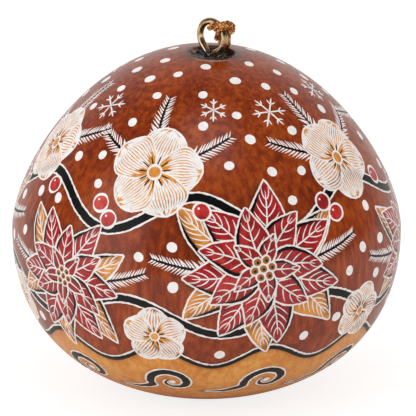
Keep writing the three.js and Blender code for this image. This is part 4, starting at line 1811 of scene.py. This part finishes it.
@dataclass
class Cord:
    """The metallic cord: its knot on the ring and the loop that lies down the gourd's back."""

    skin: Skin
    eye: Eye
    diameter: float = 1.1
    knot_radius: float = 1.45
    knot_shift: tuple[float, float, float] = (1.2, 1.4, 0)  # from the ring's wire to the knot's middle
    knot_angle: float = 34.0  # where on the ring the knot sits
    wrap_cord: float = 0.8
    clearance: float = 0.3
    strand_spacing: float = 1.3
    strand_shift: float = 0.5  # to the left of the knot's middle
    loop_shift: float = 1.2  # from the knot's middle to the middle of the lying loop
    fall: float = 70.0
    lean: float = 4.0
    bend: float = 2.5
    loop_width: float = 9.0
    loop_bend: float = 6.0
    floor_gap: float = 0.1
    lay: float = 2.6  # one turn of the plies
    ply_radius: float = 0.32  # as a share of the cord's diameter
    ply_shift: float = 0.23  # from the cord's middle, as the same share
    ply_taper: float = 0.2
    lump_cord: float = 1.05
    cut_radius: float = 0.46

    @property
    def middle(self) -> Array:
        """The middle of the knot, about which the loop swings."""
        return self.eye.on_ring(self.knot_angle) + np.array(self.knot_shift)

    def _on_back(self, x: float, height: float) -> list[float]:
        """The cord's middle where it lies on the gourd's back, off the skin by its clearance.

        Args:
            x: How far to the right it lies.
            height: Height of the skin under it.

        Returns:
            The point.
        """
        upper = self.skin.s >= self.skin.belly_s
        pick = lambda column: float(np.interp(height, self.skin.z[upper], column[upper]))
        off = self.diameter / 2 + self.clearance
        r, z = pick(self.skin.r) + pick(self.skin.out_r) * off, height + pick(self.skin.out_z) * off
        return [x, math.sqrt(r * r - x * x), z]

    def _strand(self, start_x: float, end_x: float) -> list[list[float]]:
        """One strand from the knot down to the surface that the gourd stands on.

        Args:
            start_x: How far to the right it starts.
            end_x: And ends.

        Returns:
            The strand's points.
        """
        fall, lean = math.radians(self.fall), math.tan(math.radians(self.lean))
        x, y, z = start_x, self.middle[1], self.middle[2]
        near, far = self.knot_radius + self.clearance, self.knot_radius + self.clearance + self.diameter
        legs = [(near * math.cos(fall), near * math.sin(fall)), (far * math.cos(fall), far * math.sin(fall))]
        for share in (2 / 3, 1 / 3, 0):
            heading = fall * share
            back = far * math.cos(fall) + self.bend * (math.sin(fall) - math.sin(heading))
            legs.append((back, far * math.sin(fall) + self.bend * (math.cos(heading) - math.cos(fall))))
        points = [[x - down * lean, y + back, z - down] for back, down in legs]
        landing = points[-1][0]
        shares = (0.98, 0.94, 0.86, 0.74, 0.57, 0.38, 0.18, 0)
        for i, share in enumerate(shares):
            height = self.skin.belly_height + (self.skin.crown_height - self.skin.belly_height) * share
            way = float(smooth_step(np.array(i), 1, len(shares) - 1))
            points.append(self._on_back(landing + (end_x - landing) * way, height))
        back, floor = points[-1][1], self.diameter / 2 + self.floor_gap
        points += [[end_x, back, height] for height in (20, floor + self.loop_bend)]
        for a in np.radians((30, 60, 90)):
            turned = back + self.loop_bend * (1 - math.cos(a))
            points.append([end_x, turned, floor + self.loop_bend * (1 - math.sin(a))])
        return points

    def route(self) -> list[list[float]]:
        """The loop's points, which are the solid's own.

        Returns:
            The points, from the knot and back to it.
        """
        start, centre = self.middle[0] - self.strand_shift, self.middle[0] - self.loop_shift
        right = self._strand(start + self.strand_spacing / 2, centre + self.loop_width / 2)
        left = self._strand(start - self.strand_spacing / 2, centre - self.loop_width / 2)
        a, b = right[-1], left[-1]
        reach, back = (a[0] - b[0]) / 2, (a[1] + b[1]) / 2
        turns = np.radians((45, 90, 135))
        turn = [[centre + reach * math.cos(t), back + reach * math.sin(t), a[2]] for t in turns]
        return right + turn + left[::-1]

    def _plies(self, line: Array, diameter: float) -> list[Array]:
        """Three plies that wind round a line and fill a cord of this diameter.

        Args:
            line: The line's stations.
            diameter: Diameter of the cord.

        Returns:
            The middle lines of the plies.
        """
        ahead = unit(np.gradient(line, axis=0))
        across = np.empty_like(line)
        across[0] = unit(np.cross(ahead[0], [0.3, 0.2, 1.0]))
        for i in range(1, len(line)):
            kept = across[i - 1] - ahead[i] * np.dot(across[i - 1], ahead[i])
            across[i] = kept / np.linalg.norm(kept)
        over = np.cross(ahead, across)
        plies = []
        for ply in range(3):
            a = (2 * math.pi * (distances(line) / self.lay + ply / 3))[:, None]
            plies.append(line + (across * np.cos(a) + over * np.sin(a)) * diameter * self.ply_shift)
        return plies

    def twisted(self, name: str, lines: Iterable[tuple[Array, float]]) -> bpy.types.Mesh:
        """Twisted cord along lines, each with its own diameter.

        Args:
            name: Name of the mesh.
            lines: Each line with its cord's diameter.

        Returns:
            The mesh, in metres.
        """
        shape = bmesh.new()
        for line, diameter in lines:
            plies = self._plies(line, diameter)
            shape.from_mesh(tube(name, plies, diameter * self.ply_radius, 8, self.ply_taper))
        return mesh_of(shape, name)

    def _wraps(self) -> list[Array]:
        """The two turns of cord pulled tight round the ring's wire, which close up towards the knot.

        Returns:
            The middle line of each turn.
        """
        r = self.eye.wire / 2 + self.wrap_cord / 2 + 0.04
        turns = []
        for angle, lean in ((54.5, -5.0), (36.0, 4.0)):
            line = []
            for a in np.linspace(-0.6, 2 * math.pi + 0.6, 46):
                line.append(self.eye.on_ring(angle + lean * math.cos(a), r * math.cos(a), r * math.sin(a)))
            turns.append(np.array(line))
        return turns

    def _lump(self) -> Array:
        """The knot's body: a cord that goes over and under itself three times.

        Returns:
            Its middle line.
        """
        a = np.linspace(0, 2 * math.pi, 72)
        out = 0.58 + 0.32 * np.cos(3 * a)
        ring = np.stack([out * np.cos(2 * a), 0.5 * np.sin(3 * a), 1.42 * out * np.sin(2 * a)], -1)
        return self.middle + ring + np.array([0.1, 0, 0.1])

    def build(self) -> list[bpy.types.Object]:
        """Makes the knot, its cut ends and the loop, and logs the loop's length.

        Returns:
            The knot, its cut ends and the loop.
        """
        eye, beside = self.eye, self.eye.wire / 2 + self.wrap_cord / 2 + 0.22
        front = [self.middle, eye.on_ring(44, 1.15, 0.2), eye.on_ring(58, 0.7, 1.0)]
        front += [eye.on_ring(70, -0.3, beside), eye.on_ring(82, -1.15, beside + 0.1)]
        # The other tail comes down inside the ring and shows its cut end to the front.
        cut_end = eye.inside(1.74, 0.24, 0.6)
        out = np.array([0, -0.95, 0.31])
        under = [self.middle, eye.on_ring(44, -1.1, -0.7), cut_end - out, cut_end]
        ends = [smooth_line(front, 0.1), smooth_line(under, 0.1)]
        lines = [(line, self.diameter) for line in ends]
        lines += [(line, self.wrap_cord + 0.1) for line in self._wraps()]
        lines.append((self._lump(), self.lump_cord))
        cut = [line[-1:] + np.outer([-0.2, 0.08], unit(line[-1] - line[-2])) for line in ends]
        core = add_piece("cut_ends_of_cord", tube("cut_ends", cut, self.cut_radius, 12, 0.06), CUT_YARN)
        knot = add_piece("knot_of_cord", self.twisted("knot_of_cord", lines), MetallicYarn())
        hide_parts("cord_knot")
        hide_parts("cord_knot")
        line = smooth_line(self.route(), 0.2)
        # The strands run on into the knot.
        fall, lean = math.radians(self.fall), math.tan(math.radians(self.lean))
        into = unit(np.array([math.sin(fall) * lean, -math.cos(fall), math.sin(fall)]))
        deep, near = into * 1.1, into * 0.5
        full = np.concatenate([line[:1] + deep, line[:1] + near, line, line[-1:] + near, line[-1:] + deep])
        twist = self.twisted("cord_loop", [(full, self.diameter)])
        loop = add_piece("cord_loop", twist, MetallicYarn(), "hanging_loop")
        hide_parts("hanging_cord")
        length = float(distances(line)[-1])
        LOG.info("cord: %.1f mm", length)
        return [knot, core, loop]


# Studio.


@dataclass(frozen=True)
class SoftBox:
    """A square lamp that looks at the ornament from a direction."""

    name: str
    towards: tuple[float, float, float]
    distance: float  # metres
    size: tuple[float, float]  # metres
    watts: float


@dataclass
class Studio:
    """The camera, the pale room, the soft boxes and the white floor."""

    elevation: float = 18.0
    distance: float = 3.0  # metres
    frame_width: float = 85.8
    aim: tuple[float, float, float] = (0.3, 0.0, 37.1)
    room: float = 0.8  # how bright the room is to the ornament's matt colours
    boxes: tuple[SoftBox, ...] = (
        SoftBox("overhead_box", (0.02, -0.29, 0.95), 0.6, (0.3, 0.3), 0.3),
        SoftBox("right_box", (0.7, -0.71, 0.12), 0.8, (0.2, 0.16), 0.16),
        SoftBox("left_box", (-0.85, -0.45, 0.3), 0.8, (0.6, 0.6), 1.3),
    )
    lit: tuple[float, float, float] = (0.0, 0.0, 37.0)  # the middle of the ornament, which the boxes face

    def build(self) -> None:
        """Makes everything that isn't the ornament."""
        self._camera()
        self._world()
        for box in self.boxes:
            self._lamp(box)
        self._floor()

    def _camera(self) -> None:
        """Looks down at the front from the photograph's height."""
        data = bpy.data.cameras.new("camera")
        data.sensor_width = 36.0
        data.lens = 36.0 * self.distance / (self.frame_width * MM)
        data.clip_start, data.clip_end = 0.01, 20
        camera = bpy.data.objects.new("camera", data)
        a = math.radians(self.elevation)
        back = Vector((0, -math.cos(a), math.sin(a)))
        camera.location = Vector(self.aim) * MM + back * self.distance
        camera.rotation_euler = (-back).to_track_quat("-Z", "Y").to_euler()
        bpy.context.scene.collection.objects.link(camera)
        bpy.context.scene.camera = camera
        bpy.context.scene.view_settings.view_transform = "Standard"

    def _world(self) -> None:
        """A room that is white behind and beside the ornament, and dim on the camera's side."""
        world = bpy.data.worlds.new("room")
        bpy.context.scene.world = world
        world.use_nodes = True
        tree = world.node_tree
        tree.nodes.clear()
        way = add_node(tree, "TexCoord")
        axes = add_node(tree, "SeparateXYZ", Vector=way.outputs["Generated"])
        wall = add_node(tree, "MapRange", Value=axes.outputs[1], i1=0.3, i2=0.9, i3=0.04, i4=0.74)
        path = add_node(tree, "LightPath").outputs
        level = add_node(tree, "Mix", FLOATS, i0=path["Is Glossy Ray"], i2=self.room, i3=wall)
        room = add_node(tree, "Background", Strength=level, Color=linear("#fffdfb"))
        seen = add_node(tree, "Background", Strength=1.0, Color=(1, 1, 1, 1))
        both = add_node(tree, "MixShader", i0=path["Is Camera Ray"], i1=room, i2=seen)
        add_node(tree, "OutputWorld", i0=both)

    def _lamp(self, box: SoftBox) -> None:
        """Hangs one soft box.

        Args:
            box: The soft box.
        """
        data = bpy.data.lights.new(box.name, "AREA")
        data.shape = "RECTANGLE"
        data.size, data.size_y = box.size
        data.energy = box.watts
        lamp = bpy.data.objects.new(box.name, data)
        way = Vector(box.towards).normalized()
        lamp.location = Vector(self.lit) * MM + way * box.distance
        lamp.rotation_euler = way.to_track_quat("Z", "Y").to_euler()
        lamp.visible_camera = False
        bpy.context.scene.collection.objects.link(lamp)

    @staticmethod
    def _floor() -> None:
        """Lays a white table that keeps the ornament's soft shadow."""
        shape = bmesh.new()
        bmesh.ops.create_grid(shape, x_segments=4, y_segments=4, size=4.0)
        bmesh.ops.translate(shape, verts=shape.verts, vec=(0, 0, -0.05 * MM))
        mesh = mesh_of(shape, "white_table")
        material, tree = new_material("matt_white_table")
        path = add_node(tree, "LightPath").outputs
        matt = add_node(tree, "BsdfDiffuse", Color=linear("#f2f0ee"))
        shaded = add_node(tree, "BsdfDiffuse", Color=linear("#949494"))
        glow = add_node(tree, "Emission", Color=(1, 1, 1, 1), Strength=0.82)
        lit = add_node(tree, "AddShader", i0=shaded, i1=glow)
        both = add_node(tree, "MixShader", i0=path["Is Camera Ray"], i1=matt, i2=lit)
        add_node(tree, "OutputMaterial", i0=both)
        mesh.materials.append(material)
        floor = bpy.data.objects.new("white_table", mesh)
        bpy.context.scene.collection.objects.link(floor)


def dress_solids() -> None:
    """Gives the CAD nodes that stay their own finishes."""
    wood, coat = SandedRind().material(), SEED_COAT.material()
    for name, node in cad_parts.items():
        if name == "gourd_shell" or name.startswith("seed_"):
            node.data.materials.clear()
            node.data.materials.append(wood if name == "gourd_shell" else coat)


def main() -> None:
    """Builds the studio, then the ornament from its cord to its skin."""
    logging.basicConfig(level=logging.INFO, format="%(relativeCreated)d %(name)s: %(message)s")
    Studio().build()
    skin = Skin()
    scar = StemScar(skin)
    eye = Eye(floor=scar.floor)
    Cord(skin, eye).build()
    eye.build()
    scar.build()
    dress_solids()
    PaintedSkin(skin).build()


if __name__ == "__main__":
    main()
